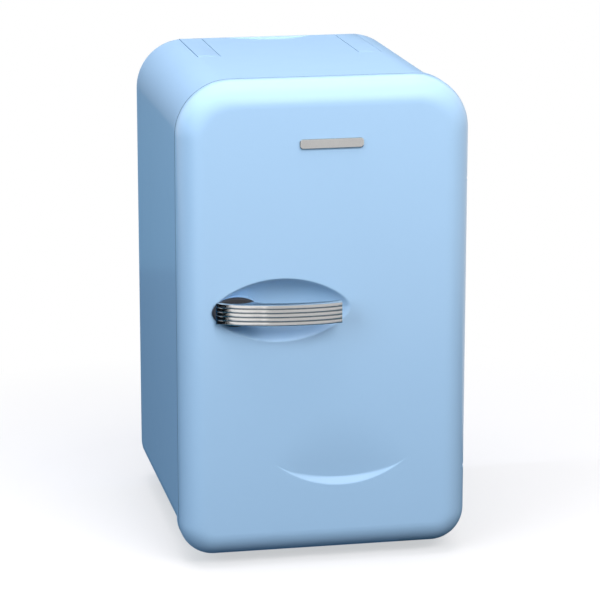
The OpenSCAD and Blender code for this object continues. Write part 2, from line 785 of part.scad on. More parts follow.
module ac_inlet() color(black) translate([ac_x, plate_y + plate_t, inlet_z]) {
    difference() {
        union() {
            translate([-ac_w/2 - 2, 0, -ac_h/2 - 2]) cube([ac_w + 4, bezel_t, ac_h + 4]);
            translate([-ac_w/2, -16, -ac_h/2]) cube([ac_w, 16 + over/2, ac_h]);
        }
        for (x = [-1, 1]) translate([x*ac_pin, bezel_t - 12, 0]) rod_y(ac_pin, 12 + over);
        translate([-ac_pin, bezel_t - 12, -ac_pin/2]) cube([2*ac_pin, 12 + over, ac_pin]);
    }
    for (x = [-1, 1]) translate([x*ac_pin, -12, 0]) rod_y(1.2, 11);
}

module dc_inlet() color(black) translate([dc_x, plate_y + plate_t, inlet_z]) {
    difference() {
        union() {
            rod_y(dc_r + 1.8, bezel_t);
            translate([0, -14, 0]) rod_y(dc_r, 14 + over/2);
        }
        translate([0, bezel_t - 11, 0]) rod_y(3.3, 11 + over);
    }
    translate([0, -11, 0]) rod_y(1, 10);
}

module lamp(z, tint) color(tint) translate([lamp_x, plate_y + plate_t, z]) {
    translate([0, -6, 0]) rod_y(lamp_r, 6);
    rod_y(lamp_r + 0.8, 1);
}

// ---- door ----------------------------------------------------------------

// The door outline set in by o, its front set back by o as well
module door_solid(o, back = 0)
    translate([0, door_back + back, 0]) mirror([0, 1, 0])
        slab(door_w - 2*o, door_lift + o, total_h - o, top_r - o, bottom_r - o,
            door_t - o + back, front_edge_r - o);

// Hollow of the door shell, open at the back, left of the hinge stile
module door_hollow(g, back = 0)
    intersection() {
        door_solid(shell_t + g, back);
        translate([-door_w, door_face, 0])
            cube([door_w + hinge_x - boss_r - g, door_t + back + over, total_h]);
    }

// Lens-shaped finger dish, turned about an axis before the face, grown by g
module dish(g)
    translate([dish_x, door_face - dish_axis, dish_z]) rotate([0, 90, 0])
        rotate_extrude($fn = 96) intersection() {
            translate([dish_rim - dish_arc, 0]) circle(dish_arc + g, $fn = 192);
            translate([0, -dish_arc]) square([dish_arc, 2*dish_arc]);
        }

// Oval that carries the handle's root
module root_oval(t)
    translate([base_x, 0, dish_z]) {
        for (s = [-1, 1]) translate([s*base_l/2, 0, 0]) rod_y(base_r, t);
        translate([-base_l/2, 0, -base_r]) cube([base_l, t, 2*base_r]);
    }

// Shallow hollow that ends below in a curved lip, grown by g
module smile(g)
    intersection() {
        translate([smile_x, door_face - over, smile_cz]) rotate([-90, 0, 0])
            cylinder(r1 = smile_r + g + over*lip_slope, h = smile_depth + 5,
                r2 = smile_r + g - (smile_depth + 5 - over)*lip_slope, $fn = 192);
        translate([smile_x, door_face + smile_depth + g, smile_z + smile_depth*lip_slope])
            rotate([hollow_tilt, 0, 0]) translate([0, -hollow_r, -smile_r/2])
                cylinder(r = hollow_r, h = smile_r*1.5, $fn = 720);
    }

module door_shell() color(blue) difference() {
    union() {
        difference() {
            door_solid(0);
            door_hollow(0, over);
        }
        intersection() {
            door_solid(shell_t/2);
            union() {
                dish(shell_t);
                smile(shell_t);
            }
        }
        translate([0, door_face + shell_t/2, 0])
            handle_screw_rods(screw_boss_r, dish_depth - shell_t/2);
    }
    difference() {
        dish(0);
        translate([0, door_face - over, 0]) root_oval(door_t);
    }
    smile(0);
    translate([hinge_x, hinge_y, 0]) linear_extrude(total_h + over) difference() {
        square(2*hinge_back);
        circle(hinge_back);
    }
    for (z = hinge_zs) translate([hinge_x, hinge_y, z - tab_t/2 - slot_gap])
        linear_extrude(tab_t + 2*slot_gap) tab_sweep();
    for (i = [0, 1]) translate([hinge_x, hinge_y, hinge_zs[i]]) mirror([0, 0, i])
        cylinder(r = bush_r, h = tab_t/2 + slot_gap + pin_l);
    translate([0, door_face - over, 0]) handle_screw_rods(screw_r, dish_depth + 2*over);
}

module handle_screw_rods(r, l) for (x = handle_screw_x) translate([x, 0, dish_z]) rod_y(r, l);

module door_liner() color(white) difference() {
    union() {
        intersection() {
            door_hollow(fit);
            translate([-door_w, door_back - liner_t, 0]) cube([2*door_w, liner_t, total_h]);
        }
        groove(liner_t, door_back - groove_d - liner_t, groove_d + liner_t);
        translate([0, door_back - over, 0])
            slab(pan_w, pan_z0, pan_z1, cabin_r, cabin_r, pan_d + over, 6);
    }
    groove(0, door_back - groove_d, groove_d + over);
    translate([0, door_back - liner_t - over, 0])
        slab(pan_w - 2*liner_t, pan_z0 + liner_t, pan_z1 - liner_t, cabin_r - liner_t,
            cabin_r - liner_t, pan_d + over, 4);
}

// Channel that holds the gasket, grown by g, from y over t
module groove(g, y, t)
    ring(2*(gasket_in + gasket_w + fit + g), gasket_z0 - gasket_w - fit - g,
        gasket_z1 + gasket_w + fit + g, gasket_r + gasket_w + fit + g,
        gasket_w + 2*fit + 2*g, y, t);

module door_gasket() color("gray") {
    gasket_ring(0, door_back - groove_d, 2);
    gasket_ring(1.5, door_back - groove_d + 2 - over/2, gasket_t - 4 + over/2);
    gasket_ring(0.3, door_back - groove_d + gasket_t - 2.5, 2.5);
}

// One layer of the gasket, narrowed by o on both sides
module gasket_ring(o, y, t)
    ring(2*(gasket_in + gasket_w - o), gasket_z0 - gasket_w + o, gasket_z1 + gasket_w - o,
        gasket_r + gasket_w - o, gasket_w - 2*o, y, t);

module door_foam() color("khaki") difference() {
    union() {
        intersection() {
            door_hollow(fit, -groove_d - liner_t - fit);
            translate([-door_w, door_face + shell_t + fit, 0]) cube([2*door_w, door_t, total_h]);
        }
        translate([0, door_back - groove_d - liner_t - over, 0])
            slab(pan_w - 2*(liner_t + fit), pan_z0 + liner_t + fit, pan_z1 - liner_t - fit,
                cabin_r - liner_t - fit, cabin_r - liner_t - fit,
                groove_d + pan_d + over - fit, 4);
    }
    dish(shell_t + fit);
    smile(shell_t + fit);
    translate([0, door_face, 0]) handle_screw_rods(screw_boss_r + fit, dish_depth + head_t + fit);
}

module door_rack(z) color("aliceblue") translate([0, pan_y, z]) difference() {
    linear_extrude(rack_h) rack_plan(0);
    translate([0, 0, rack_t]) linear_extrude(rack_h) rack_plan(rack_t);
    translate([-rack_w/2 + 18, rack_d - 2*rack_t, rack_h*0.45])
        cube([rack_w - 36, 3*rack_t, rack_h*0.28]);
}

// Rack seen from above, its walls set in by o
module rack_plan(o) {
    r = 12;
    translate([-rack_w/2 + o, o]) square([rack_w - 2*o, rack_d - r - o]);
    translate([-rack_w/2 + r, o]) square([rack_w - 2*r, rack_d - 2*o]);
    for (s = [-1, 1]) translate([s*(rack_w/2 - r), rack_d - r]) circle(r - o);
}

// ---- handle and badge ----------------------------------------------------

function bezier(p, n) = [for (i = [0 : n]) let (t = i/n, u = 1 - t)
    u*u*u*p[0] + 3*u*u*t*p[1] + 3*u*t*t*p[2] + t*t*t*p[3]];

// Bar seen from above, y counted from the base outwards; f moves its front out
function bar_plan(f) = let (o = bar_out, b = base_t) concat(
    bezier([[bar_left, b], [dish_x - 50.5, b + 7 + f], [bar_bend, o - 8.1 + f],
        [bar_knee, o - 4.3 + f]], bar_steps),
    bezier([[bar_knee + 1, o - 4 + f], [dish_x - 7.5, o - 0.8 + f],
        [bar_belly, o + 2.2 + f], [bar_right, o - 3.3 + f]], bar_steps),
    bezier([[bar_right, o - 3.3 - handle_t], [bar_belly, o + 2.2 - handle_t],
        [dish_x - 5.5, o - 0.8 - handle_t], [bar_knee + 3, o - 4.3 - handle_t]], bar_steps),
    bezier([[bar_knee + 2, o - 5 - handle_t], [bar_heel[0], b + 4], [bar_heel[1], b + 1],
        [bar_foot, b]], bar_steps));

module bar_slice(z, h, f)
    translate([0, door_face, dish_z + z]) mirror([0, 1, 0])
        linear_extrude(h) polygon(bar_plan(f));

module handle_bar() color(metal) difference() {
    union() {
        bar_slice(-handle_h/2, handle_h, 0);
        for (i = [0 : handle_ribs - 1]) {
            pitch = handle_h/(handle_ribs - 0.5);
            bar_slice(-handle_h/2 + i*pitch, pitch/2, rib_d);
        }
    }
    translate([0, door_face - base_t - screw_bite, 0]) handle_screw_rods(screw_r, screw_bite + over);
}

module handle_base() color(black) difference() {
    translate([0, door_face - base_t, 0]) root_oval(base_t);
    translate([0, door_face - base_t - over, 0]) handle_screw_rods(screw_r, base_t + 2*over);
}

module handle_screws() color(metal)
    for (x = handle_screw_x) translate([x, handle_seat_y, dish_z])
        mirror([0, 1, 0]) screw_y(handle_seat_y - door_face + base_t + screw_bite);

module badge_bar() color(metal)
    translate([badge_x, door_face - badge_t, 0])
        plate(badge_w, badge_z - badge_h/2, badge_z + badge_h/2, 3, badge_t);

// ---- the assembly --------------------------------------------------------

outer_case();
inner_liner();
case_foam();
rear_cover();
rear_cover_screws();
foot(foot_places()[0]);  // foot_front_left
foot(foot_places()[1]);  // foot_rear_left
foot(foot_places()[2]);  // foot_front_right
foot(foot_places()[3]);  // foot_rear_right
foot_screws();
hinge_bracket(hinge_zs[0], true);  // hinge_bracket_lower
hinge_bracket(hinge_zs[1], false);  // hinge_bracket_upper
hinge_screws();
carry_handle();
carry_handle_pins();
shelf();
cold_cover();
translate([0, cold_fan_y, cool_z]) fan_frame(cold_fan_w, cold_fan_t);  // cold_fan_frame
translate([0, cold_fan_y, cool_z]) fan_rotor(cold_fan_w, cold_fan_t);  // cold_fan_rotor
cold_sink();
spacer_block();
peltier_module();
hot_sink();
translate([0, hot_fan_y, cool_z]) fan_frame(hot_fan_w, hot_fan_t);  // hot_fan_frame
translate([0, hot_fan_y, cool_z]) fan_rotor(hot_fan_w, hot_fan_t);  // hot_fan_rotor
fan_screws();
power_board();
board_standoffs();
mode_switch_housing();
mode_rocker();
ac_inlet();
dc_inlet();
lamp(lamp_zs[0], "limegreen");  // cold_lamp
lamp(lamp_zs[1], "red");  // hot_lamp
door_shell();
door_liner();
door_foam();
door_gasket();
hinge_bush(hinge_zs[0], true);  // hinge_bush_lower
hinge_bush(hinge_zs[1], false);  // hinge_bush_upper
door_rack(rack_zs[0]);  // door_rack_lower
door_rack(rack_zs[1]);  // door_rack_upper
handle_base();
handle_bar();
handle_screws();
badge_bar();
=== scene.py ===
"""Mini fridge: the visible skins, their finishes and the stage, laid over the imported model."""

import json
import math

import bmesh
import bpy
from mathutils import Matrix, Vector


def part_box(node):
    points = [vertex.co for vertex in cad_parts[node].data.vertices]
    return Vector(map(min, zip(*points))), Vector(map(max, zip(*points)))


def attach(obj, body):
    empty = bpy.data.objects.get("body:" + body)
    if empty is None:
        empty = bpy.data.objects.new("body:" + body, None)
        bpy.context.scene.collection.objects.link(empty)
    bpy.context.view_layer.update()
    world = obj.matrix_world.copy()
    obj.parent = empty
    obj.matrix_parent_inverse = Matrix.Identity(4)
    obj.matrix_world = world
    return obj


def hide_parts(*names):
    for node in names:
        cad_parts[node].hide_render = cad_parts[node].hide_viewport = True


bl_info = {
    "name": "Mini Fridge",
    "version": (1, 0, 0),
    "blender": (4, 5, 0),
    "location": "3D View > Sidebar > Fridge",
    "description": "Builds the skins, trim and finishes of a rounded mini fridge",
    "category": "Add Mesh",
}

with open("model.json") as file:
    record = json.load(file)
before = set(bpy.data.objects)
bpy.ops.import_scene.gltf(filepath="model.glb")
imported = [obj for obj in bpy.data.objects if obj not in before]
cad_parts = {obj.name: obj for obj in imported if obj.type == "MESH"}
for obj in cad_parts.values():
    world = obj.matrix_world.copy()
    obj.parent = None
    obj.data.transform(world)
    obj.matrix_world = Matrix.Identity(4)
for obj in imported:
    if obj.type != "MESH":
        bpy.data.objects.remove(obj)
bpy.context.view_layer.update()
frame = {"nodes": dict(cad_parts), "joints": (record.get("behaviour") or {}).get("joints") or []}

MM = 0.001
CASE_LO, CASE_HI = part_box("outer_case")
DOOR_LO, DOOR_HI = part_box("door_shell")
BAR_LO, BAR_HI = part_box("handle_bar")
BASE_LO, BASE_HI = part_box("handle_base")
BADGE_LO, BADGE_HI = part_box("badge_bar")
GRIP_LO, GRIP_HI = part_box("carry_handle")
COVER_LO, COVER_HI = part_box("rear_cover")
HINGE, PIVOT = (Vector(next(j["pos_m"] for j in frame["joints"] if j["name"] == name))
                for name in ("door_hinge", "carry_handle_pivot"))
HINGE_HEIGHTS = [sum(corner.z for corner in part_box(f"hinge_bracket_{place}")) / 2
                 for place in ("lower", "upper")]

# How far two points may lie apart and still count as one, when picking and when merging
NEAR = 1e-5
MERGE = 1e-5
MERGE_FINE = 2e-6

# The door handle's bar, in mm: its left end from the dish's middle, its thickness, its ribs
BAR_END = 57.5
BAR_THICK = 6.5
RIB_DEEP = 1.2

# The door: middles of the finger dish and of the lip, and the oval at the handle's root
DISH = Vector((BAR_LO.x + BAR_END * MM, DOOR_LO.y, (BAR_LO.z + BAR_HI.z) / 2))
SMILE = Vector((13 * MM, DOOR_LO.y, 161.4 * MM))
ROOT_W, ROOT_H = 42 * MM, BASE_HI.z - BASE_LO.z
ROOT_X = BASE_LO.x + ROOT_W / 2

# The lip: its slope, the hollow's tilt and its roll radius, and how softly both end
LIP_SLOPE, LIP_TILT = math.tan(math.radians(64)), math.tan(math.radians(4.4))
LIP_ROLL, LIP_SOFT, HOLLOW_SOFT = 500 * MM, 0.35 * MM, 1.7 * MM

# How softly the dish's rim rolls over, in mm: at its ends, and what its top and foot add
RIM_SOFT, RIM_SOFT_TOP, RIM_SOFT_FOOT = 1.6, 3.4, 6.4

# The parting line round the door's side: depth, width and the plane of its rear edge
SEAM_DEEP, SEAM_WIDE, SEAM_Y = 1 * MM, 1.5 * MM, DOOR_HI.y - 9 * MM

# The carry handle
ARM_W, ARM_T, ARM_END_R, GRIP_T = 20 * MM, 10 * MM, 9 * MM, 14 * MM
POCKET_GAP = 0.7 * MM
ARM_OUT, ARM_IN = GRIP_HI.x, GRIP_HI.x - ARM_W
GRIP_FRONT = GRIP_HI.y - GRIP_T


# ---- sizes and colours a user would change ---------------------------------


class FridgeSizes(bpy.types.PropertyGroup):
    """Radii and details of the mouldings."""

    top_r: bpy.props.FloatProperty(
        name="Top radius", description="Radius of the door's two top corners",
        default=48 * MM, min=40 * MM, max=52 * MM, unit="LENGTH")
    bottom_r: bpy.props.FloatProperty(
        name="Bottom radius", description="Radius of the door's two bottom corners",
        default=30 * MM, min=26 * MM, max=34 * MM, unit="LENGTH")
    front_r: bpy.props.FloatProperty(
        name="Front edge", description="Radius of the door's soft front edge",
        default=22 * MM, min=16 * MM, max=24 * MM, unit="LENGTH")
    rear_r: bpy.props.FloatProperty(
        name="Rear edge", description="Radius of the case's rear edge",
        default=13 * MM, min=10 * MM, max=14 * MM, unit="LENGTH")
    inset: bpy.props.FloatProperty(
        name="Case inset", description="How far the case stands in from the door's outline",
        default=3 * MM, min=1 * MM, max=4 * MM, unit="LENGTH")
    dish_a: bpy.props.FloatProperty(
        name="Dish half length", description="Half length of the finger dish",
        default=60 * MM, min=50 * MM, max=64 * MM, unit="LENGTH")
    dish_b: bpy.props.FloatProperty(
        name="Dish half height", description="Half height of the finger dish",
        default=26.5 * MM, min=22 * MM, max=28 * MM, unit="LENGTH")
    dish_depth: bpy.props.FloatProperty(
        name="Dish depth", description="Depth of the finger dish below the door's face",
        default=19.7 * MM, min=10 * MM, max=21 * MM, unit="LENGTH")
    smile_r: bpy.props.FloatProperty(
        name="Lip radius", description="Radius of the curved lip near the door's foot",
        default=90 * MM, min=80 * MM, max=94 * MM, unit="LENGTH")
    smile_depth: bpy.props.FloatProperty(
        name="Lip depth", description="Depth of the hollow above the lip",
        default=3.2 * MM, min=2 * MM, max=6 * MM, unit="LENGTH")
    ribs: bpy.props.IntProperty(
        name="Handle ribs", description="Ribs along the handle bar", default=5, min=3, max=7)


class FridgeColours(bpy.types.PropertyGroup):
    """Base colours of the finishes, linear."""

    body: bpy.props.FloatVectorProperty(
        name="Body", description="Gloss plastic of the case, door and carry handle",
        subtype="COLOR", size=3, default=(0.365, 0.565, 0.765))
    chrome: bpy.props.FloatVectorProperty(
        name="Bright trim", description="Plated handle and badge bar",
        subtype="COLOR", size=3, default=(0.80, 0.79, 0.78))
    black: bpy.props.FloatVectorProperty(
        name="Black plastic", description="Handle base, fans, switch and inlets",
        subtype="COLOR", size=3, default=(0.018, 0.02, 0.026))
    white: bpy.props.FloatVectorProperty(
        name="White plastic", description="Liners and the cooling cover",
        subtype="COLOR", size=3, default=(0.78, 0.80, 0.81))
    feet: bpy.props.FloatVectorProperty(
        name="Feet", description="Soft rubber of the feet",
        subtype="COLOR", size=3, default=(0.30, 0.31, 0.33))


def sizes():
    return bpy.context.scene.fridge_sizes


def colours():
    return bpy.context.scene.fridge_colours


# ---- shader arithmetic ------------------------------------------------------


class Sock:
    """One output socket; arithmetic on it adds Math nodes."""

    def __init__(self, mat, socket):
        self.mat, self.socket = mat, socket

    def _math(self, operation, a, b):
        return self.mat.node("ShaderNodeMath", {"operation": operation}, {0: a, 1: b})

    def __add__(self, other):
        return self._math("ADD", self, other)

    def __mul__(self, other):
        return self._math("MULTIPLY", self, other)


class Graph:
    """A node tree built from expressions."""

    def __init__(self, tree):
        self.tree = tree

    def node(self, kind, settings=(), inputs=(), output=0):
        made = self.tree.nodes.new(kind)
        for key, value in dict(settings).items():
            setattr(made, key, value)
        for key, value in dict(inputs).items():
            if isinstance(value, Sock):
                self.tree.links.new(value.socket, made.inputs[key])
            else:
                made.inputs[key].default_value = value
        return Sock(self, made.outputs[output])

    def looking(self):
        """1 for the rays that look out at the surround: seen, mirrored or let through."""
        seen, mirrored, through = (
            self.node("ShaderNodeLightPath", output=f"Is {way} Ray")
            for way in ("Camera", "Glossy", "Transmission"))
        return self.node("ShaderNodeMath", {"operation": "ADD", "use_clamp": True},
                         {0: seen + mirrored, 1: through})

    def blend(self, factor, a, b):
        return self.node("ShaderNodeMixShader", {}, {0: factor, 1: a, 2: b})

    def place(self):
        return self.node("ShaderNodeTexCoord", output="Object")

    def noise(self, scale, detail=3.0, roughness=0.5, where=None):
        inputs = {"Scale": scale, "Detail": detail, "Roughness": roughness}
        inputs["Vector"] = where or self.place()
        return self.node("ShaderNodeTexNoise", {}, inputs)

    def ramp(self, value, low, high, out_low=0.0, out_high=1.0):
        return self.node("ShaderNodeMapRange", {"clamp": True},
                         {"Value": value, 1: low, 2: high, 3: out_low, 4: out_high})

    def between(self, noise, low=0.0, high=1.0):
        """Stretches the middle of a noise's range over two values."""
        return self.ramp(noise, 0.3, 0.7, low, high)

    def mix(self, factor, a, b):
        return self.node("ShaderNodeMix", {"data_type": "RGBA"},
                         {0: factor, 6: a, 7: b}, output=2)

    def bump(self, height):
        """Surface relief; height is in metres."""
        return self.node("ShaderNodeBump", {},
                         {"Height": height, "Distance": 1.0, "Strength": 1.0})


class Finish(Graph):
    """A material and its principled shader."""

    def __init__(self, name):
        self.material = bpy.data.materials.new(name)
        self.material.use_nodes = True
        super().__init__(self.material.node_tree)
        self.shader = self.tree.nodes["Principled BSDF"]

    def set(self, **values):
        for key, value in values.items():
            socket = self.shader.inputs[key.replace("_", " ")]
            if isinstance(value, Sock):
                self.tree.links.new(value.socket, socket)
            else:
                socket.default_value = value
        return self.material


def rgba(colour, shade=1.0):
    return tuple(c * shade for c in colour[:3]) + (1.0,)


def gloss_body():
    """Glossy moulded plastic with the faint waviness and haze of a real moulding."""
    f = Finish("body_gloss")
    body = colours().body
    cloud = f.noise(7.0, 2.0)
    haze = f.noise(40.0, 3.0, 0.5)
    wave = f.noise(24.0, 0.0)
    tint = f.mix(f.ramp(cloud, 0.35, 0.65), rgba(body, 0.994), rgba(body, 1.004))
    rough = f.between(haze, 0.28, 0.30)
    return f.set(Base_Color=tint, Roughness=rough, Coat_Weight=0.25, Coat_Roughness=0.10,
                 Specular_IOR_Level=0.38, Normal=f.bump(wave * 0.000003))


def body_seam():
    """The same plastic darkened: painted shade at the foot of a parting line."""
    f = Finish("body_seam")
    cloud = f.noise(20.0, 2.0)
    # Painted shade: the body colour cut to about a third, with a faint noise
    tint = f.mix(cloud, rgba(colours().body, 0.34), rgba(colours().body, 0.38))
    return f.set(Base_Color=tint, Roughness=0.6, Specular_IOR_Level=0.2)


def bright_trim():
    """Plated plastic, bright with a soft grain."""
    f = Finish("bright_trim")
    stretch = f.node("ShaderNodeMapping", {}, {"Vector": f.place(), "Scale": (6, 40, 900)})
    grain = f.noise(3.0, 3.0, where=stretch)
    smear = f.noise(35.0, 4.0, 0.6)
    tint = f.mix(f.between(smear), rgba(colours().chrome, 0.94), rgba(colours().chrome))
    rough = f.between(grain, 0.10, 0.17)
    return f.set(Base_Color=tint, Metallic=1.0, Roughness=rough,
                 Normal=f.bump(grain * 0.000003))


def moulded(name, colour, rough, grain=1400.0, height=0.00001, coat=0.0, spread=0.04):
    """Injection-moulded plastic with a fine spark-eroded texture."""
    f = Finish(name)
    spark = f.noise(grain, 3.0, 0.6)
    cloud = f.noise(14.0, 3.0)
    tint = f.mix(f.between(cloud), rgba(colour, 1 - spread), rgba(colour, 1 + spread))
    return f.set(Base_Color=tint, Roughness=f.between(spark, *rough), Coat_Weight=coat,
                 Normal=f.bump(spark * height))


def soft_rubber(name, colour):
    """Matt rubber with dust in its pores."""
    f = Finish(name)
    pores = f.noise(900.0, 5.0, 0.7)
    dust = f.ramp(f.noise(22.0, 5.0, 0.6), 0.45, 0.7)
    tint = f.mix(dust, rgba(colour), rgba(colour, 1.25))
    return f.set(Base_Color=tint, Roughness=f.between(pores, 0.6, 0.8),
                 Normal=f.bump(pores * 0.00003))


def plain_metal(name, colour, rough, stretch=(30, 30, 900)):
    """Rolled or extruded metal, its grain drawn out along one way."""
    f = Finish(name)
    drawn = f.node("ShaderNodeMapping", {}, {"Vector": f.place(), "Scale": stretch})
    grain = f.noise(2.0, 4.0, 0.6, where=drawn)
    stain = f.noise(30.0, 4.0)
    tint = f.mix(f.between(stain), rgba(colour, 0.9), rgba(colour, 1.05))
    return f.set(Base_Color=tint, Metallic=1.0,
                 Roughness=f.between(grain, rough, rough + 0.14),
                 Normal=f.bump(grain * 0.000012))


def clear_plastic():
    """Clear polystyrene of the shelf and racks, faintly blue, with fine scratches."""
    f = Finish("clear_plastic")
    scratch = f.node("ShaderNodeMapping", {}, {"Vector": f.place(), "Scale": (900, 40, 60)})
    lines = f.noise(2.0, 2.0, where=scratch)
    return f.set(Base_Color=(0.80, 0.90, 0.96, 1), Alpha=f.between(lines, 0.40, 0.46),
                 Roughness=f.between(lines, 0.08, 0.2), Coat_Weight=0.4)


def board_green():
    """Lacquered circuit board with the tracks showing through."""
    f = Finish("board_green")
    tracks = f.ramp(f.noise(300.0, 1.0), 0.48, 0.52)
    tint = f.mix(tracks, (0.012, 0.11, 0.04, 1), (0.02, 0.17, 0.06, 1))
    return f.set(Base_Color=tint, Roughness=f.between(f.noise(80.0), 0.3, 0.4),
                 Coat_Weight=0.5, Normal=f.bump(tracks * 0.00002))


def lamp_lens(name, colour):
    """Tinted lens, its tint varied by a fine noise."""
    f = Finish(name)
    glow = f.noise(700.0, 2.0)
    tint = f.mix(f.between(glow), rgba(colour, 0.8), rgba(colour))
    return f.set(Base_Color=tint, Roughness=f.between(glow, 0.12, 0.2), Coat_Weight=0.8)


FINISHES = {}


def finish(name):
    """The named finish, made once."""
    if name not in FINISHES:
        c = colours()
        makers = {
            "body": gloss_body,
            # Painted shade for the groove of the door's parting line
            "body_seam": body_seam,
            "bright": bright_trim,
            "black": lambda: moulded("black_plastic", c.black, (0.28, 0.4), coat=0.2),
            "white": lambda: moulded("white_plastic", c.white, (0.30, 0.38), coat=0.25,
                                     spread=0.012),
            "grey": lambda: moulded("cover_grey", (0.56, 0.58, 0.60), (0.5, 0.62), 700.0,
                                    0.00003),
            "nylon": lambda: moulded("nylon", (0.72, 0.69, 0.58), (0.35, 0.45)),
            "foam": lambda: moulded("foam", (0.72, 0.58, 0.28), (0.85, 0.95), 260.0, 0.0003),
            "ceramic": lambda: moulded("ceramic", (0.82, 0.82, 0.79), (0.3, 0.4)),
            "foot": lambda: soft_rubber("foot_rubber", c.feet),
            "seal": lambda: soft_rubber("seal_rubber", (0.34, 0.36, 0.38)),
            "steel": lambda: plain_metal("zinc_steel", (0.60, 0.60, 0.62), 0.24),
            "aluminium": lambda: plain_metal("aluminium", (0.74, 0.75, 0.77), 0.28),
            "clear": clear_plastic,
            "board": board_green,
            "green_lens": lambda: lamp_lens("green_lens", (0.05, 0.6, 0.12)),
            "red_lens": lambda: lamp_lens("red_lens", (0.7, 0.05, 0.04)),
        }
        FINISHES[name] = makers[name]()
    return FINISHES[name]


# ---- modelling helpers ------------------------------------------------------


def clear_selection():
    if bpy.context.object and bpy.context.object.mode != "OBJECT":
        bpy.ops.object.mode_set(mode="OBJECT")
    bpy.ops.object.select_all(action="DESELECT")


def to_edit(obj, kind="FACE"):
    bpy.context.view_layer.objects.active = obj
    obj.select_set(True)
    bpy.ops.object.mode_set(mode="EDIT")
    bpy.ops.mesh.select_mode(type=kind)


def pick(obj, kind, test):
    """Selects only the verts, edges or faces that pass the test."""
    bpy.ops.mesh.select_mode(type={"verts": "VERT", "edges": "EDGE", "faces": "FACE"}[kind])
    bpy.ops.mesh.select_all(action="DESELECT")
    mesh = bmesh.from_edit_mesh(obj.data)
    chosen = [item for item in getattr(mesh, kind) if test(item)]
    for item in chosen:
        item.select_set(True)
    bmesh.update_edit_mesh(obj.data)
    if not chosen:
        raise RuntimeError(f"nothing to select on {obj.name}")


def start(name, primitive, **settings):
    """Adds a primitive at the origin and leaves it in edit mode, all selected."""
    clear_selection()
    getattr(bpy.ops.mesh, f"primitive_{primitive}_add")(**settings)
    obj = bpy.context.object
    obj.name = obj.data.name = name
    to_edit(obj)
    bpy.ops.mesh.select_all(action="SELECT")
    return obj


def done():
    """Leaves edit mode and gives the object just shaped."""
    bpy.ops.object.mode_set(mode="OBJECT")
    return bpy.context.object


def block(name, lo, hi):
    """A box from lo to hi, in edit mode, its place in its mesh."""
    obj = start(name, "cube", size=1)
    size = [b - a for a, b in zip(lo, hi)]
    bpy.ops.transform.resize(value=size)
    bpy.ops.transform.translate(value=[(a + b) / 2 for a, b in zip(lo, hi)])
    return obj


def along(axis, edge):
    """Does the edge run along that axis?"""
    way = edge.verts[1].co - edge.verts[0].co
    return abs(way[axis]) > 0.999 * way.length


def level(item, axis, value):
    """Do all corners of the edge or face lie at that value on that axis?"""
    return all(abs(v.co[axis] - value) < NEAR for v in item.verts)


def bevel(offset, segments):
    bpy.ops.mesh.bevel(offset=offset, segments=segments, profile=0.5,
                       offset_type="OFFSET", clamp_overlap=False)


def rounded_block(name, lo, hi, top_r, bottom_r, segments):
    """A box whose four edges along Y are rounded, in edit mode."""
    obj = block(name, lo, hi)
    for z, r in ((hi[2], top_r), (lo[2], bottom_r)):
        pick(obj, "edges", lambda e: along(1, e) and level(e, 2, z))
        bevel(r, segments)
    return obj


def apply(obj, kind, **settings):
    """Adds a modifier, sets it and applies it."""
    clear_selection()
    obj.select_set(True)
    bpy.context.view_layer.objects.active = obj
    modifier = obj.modifiers.new(kind.title(), kind)
    for key, value in settings.items():
        setattr(modifier, key, value)
    bpy.ops.object.modifier_apply(modifier=modifier.name)


def carve(obj, *cutters, operation="DIFFERENCE"):
    """Cuts each cutter out of obj, or joins it on, and removes the cutter."""
    for cutter in cutters:
        clear_selection()
        apply(obj, "BOOLEAN", operation=operation, solver="EXACT", object=cutter)
        bpy.data.objects.remove(cutter, do_unlink=True)


def tidy_mesh(obj, angle, merge=MERGE):
    """Merges doubles, turns the faces outwards and smooths all but the sharp edges."""
    clear_selection()
    to_edit(obj, "VERT")
    bpy.ops.mesh.select_all(action="SELECT")
    bpy.ops.mesh.remove_doubles(threshold=merge)
    bpy.ops.mesh.normals_make_consistent(inside=False)
    bpy.ops.object.mode_set(mode="OBJECT")
    bpy.ops.object.shade_smooth_by_angle(angle=math.radians(angle))


def soften(obj, width=0.3 * MM, segments=2, angle=42.0):
    """Joins what lies in one plane, rounds the sharp edges and keeps the flats flat."""
    clear_selection()
    to_edit(obj, "VERT")
    bpy.ops.mesh.select_all(action="SELECT")
    bpy.ops.mesh.remove_doubles(threshold=0.02 * MM)
    bpy.ops.mesh.dissolve_limited(angle_limit=math.radians(0.4))
    bpy.ops.object.mode_set(mode="OBJECT")
    apply(obj, "BEVEL", width=width, segments=segments, limit_method="ANGLE",
          angle_limit=math.radians(angle), miter_outer="MITER_ARC", harden_normals=False)
    tidy_mesh(obj, 50.0)
    apply(obj, "WEIGHTED_NORMAL", keep_sharp=True, weight=50)


def finished(obj, material, body, slot, *nodes):
    """Gives a piece its material and its body and hides the nodes that it stands for; slot is
    not used.
    """
    clear_selection()
    obj.data.materials.clear()
    obj.data.materials.append(finish(material))
    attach(obj, body)
    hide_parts(*nodes)


# ---- the case ---------------------------------------------------------------


def slab_block(name, lo, hi, top_r, bottom_r, edge_r, edge_y, segments, edge_segments):
    """A rounded block whose edge loop at edge_y is rounded as well, in edit mode."""
    obj = rounded_block(name, lo, hi, top_r, bottom_r, segments)
    pick(obj, "edges", lambda e: level(e, 1, edge_y))
    bevel(edge_r, edge_segments)
    return obj


def tube_x(name, radius, x0, x1, y, z):
    """A cylinder that lies along X, in edit mode."""
    start(name, "cylinder", vertices=96, radius=radius, depth=x1 - x0)
    bpy.ops.transform.rotate(value=math.pi / 2, orient_axis="Y", center_override=(0, 0, 0))
    bpy.ops.transform.translate(value=((x0 + x1) / 2, y, z))


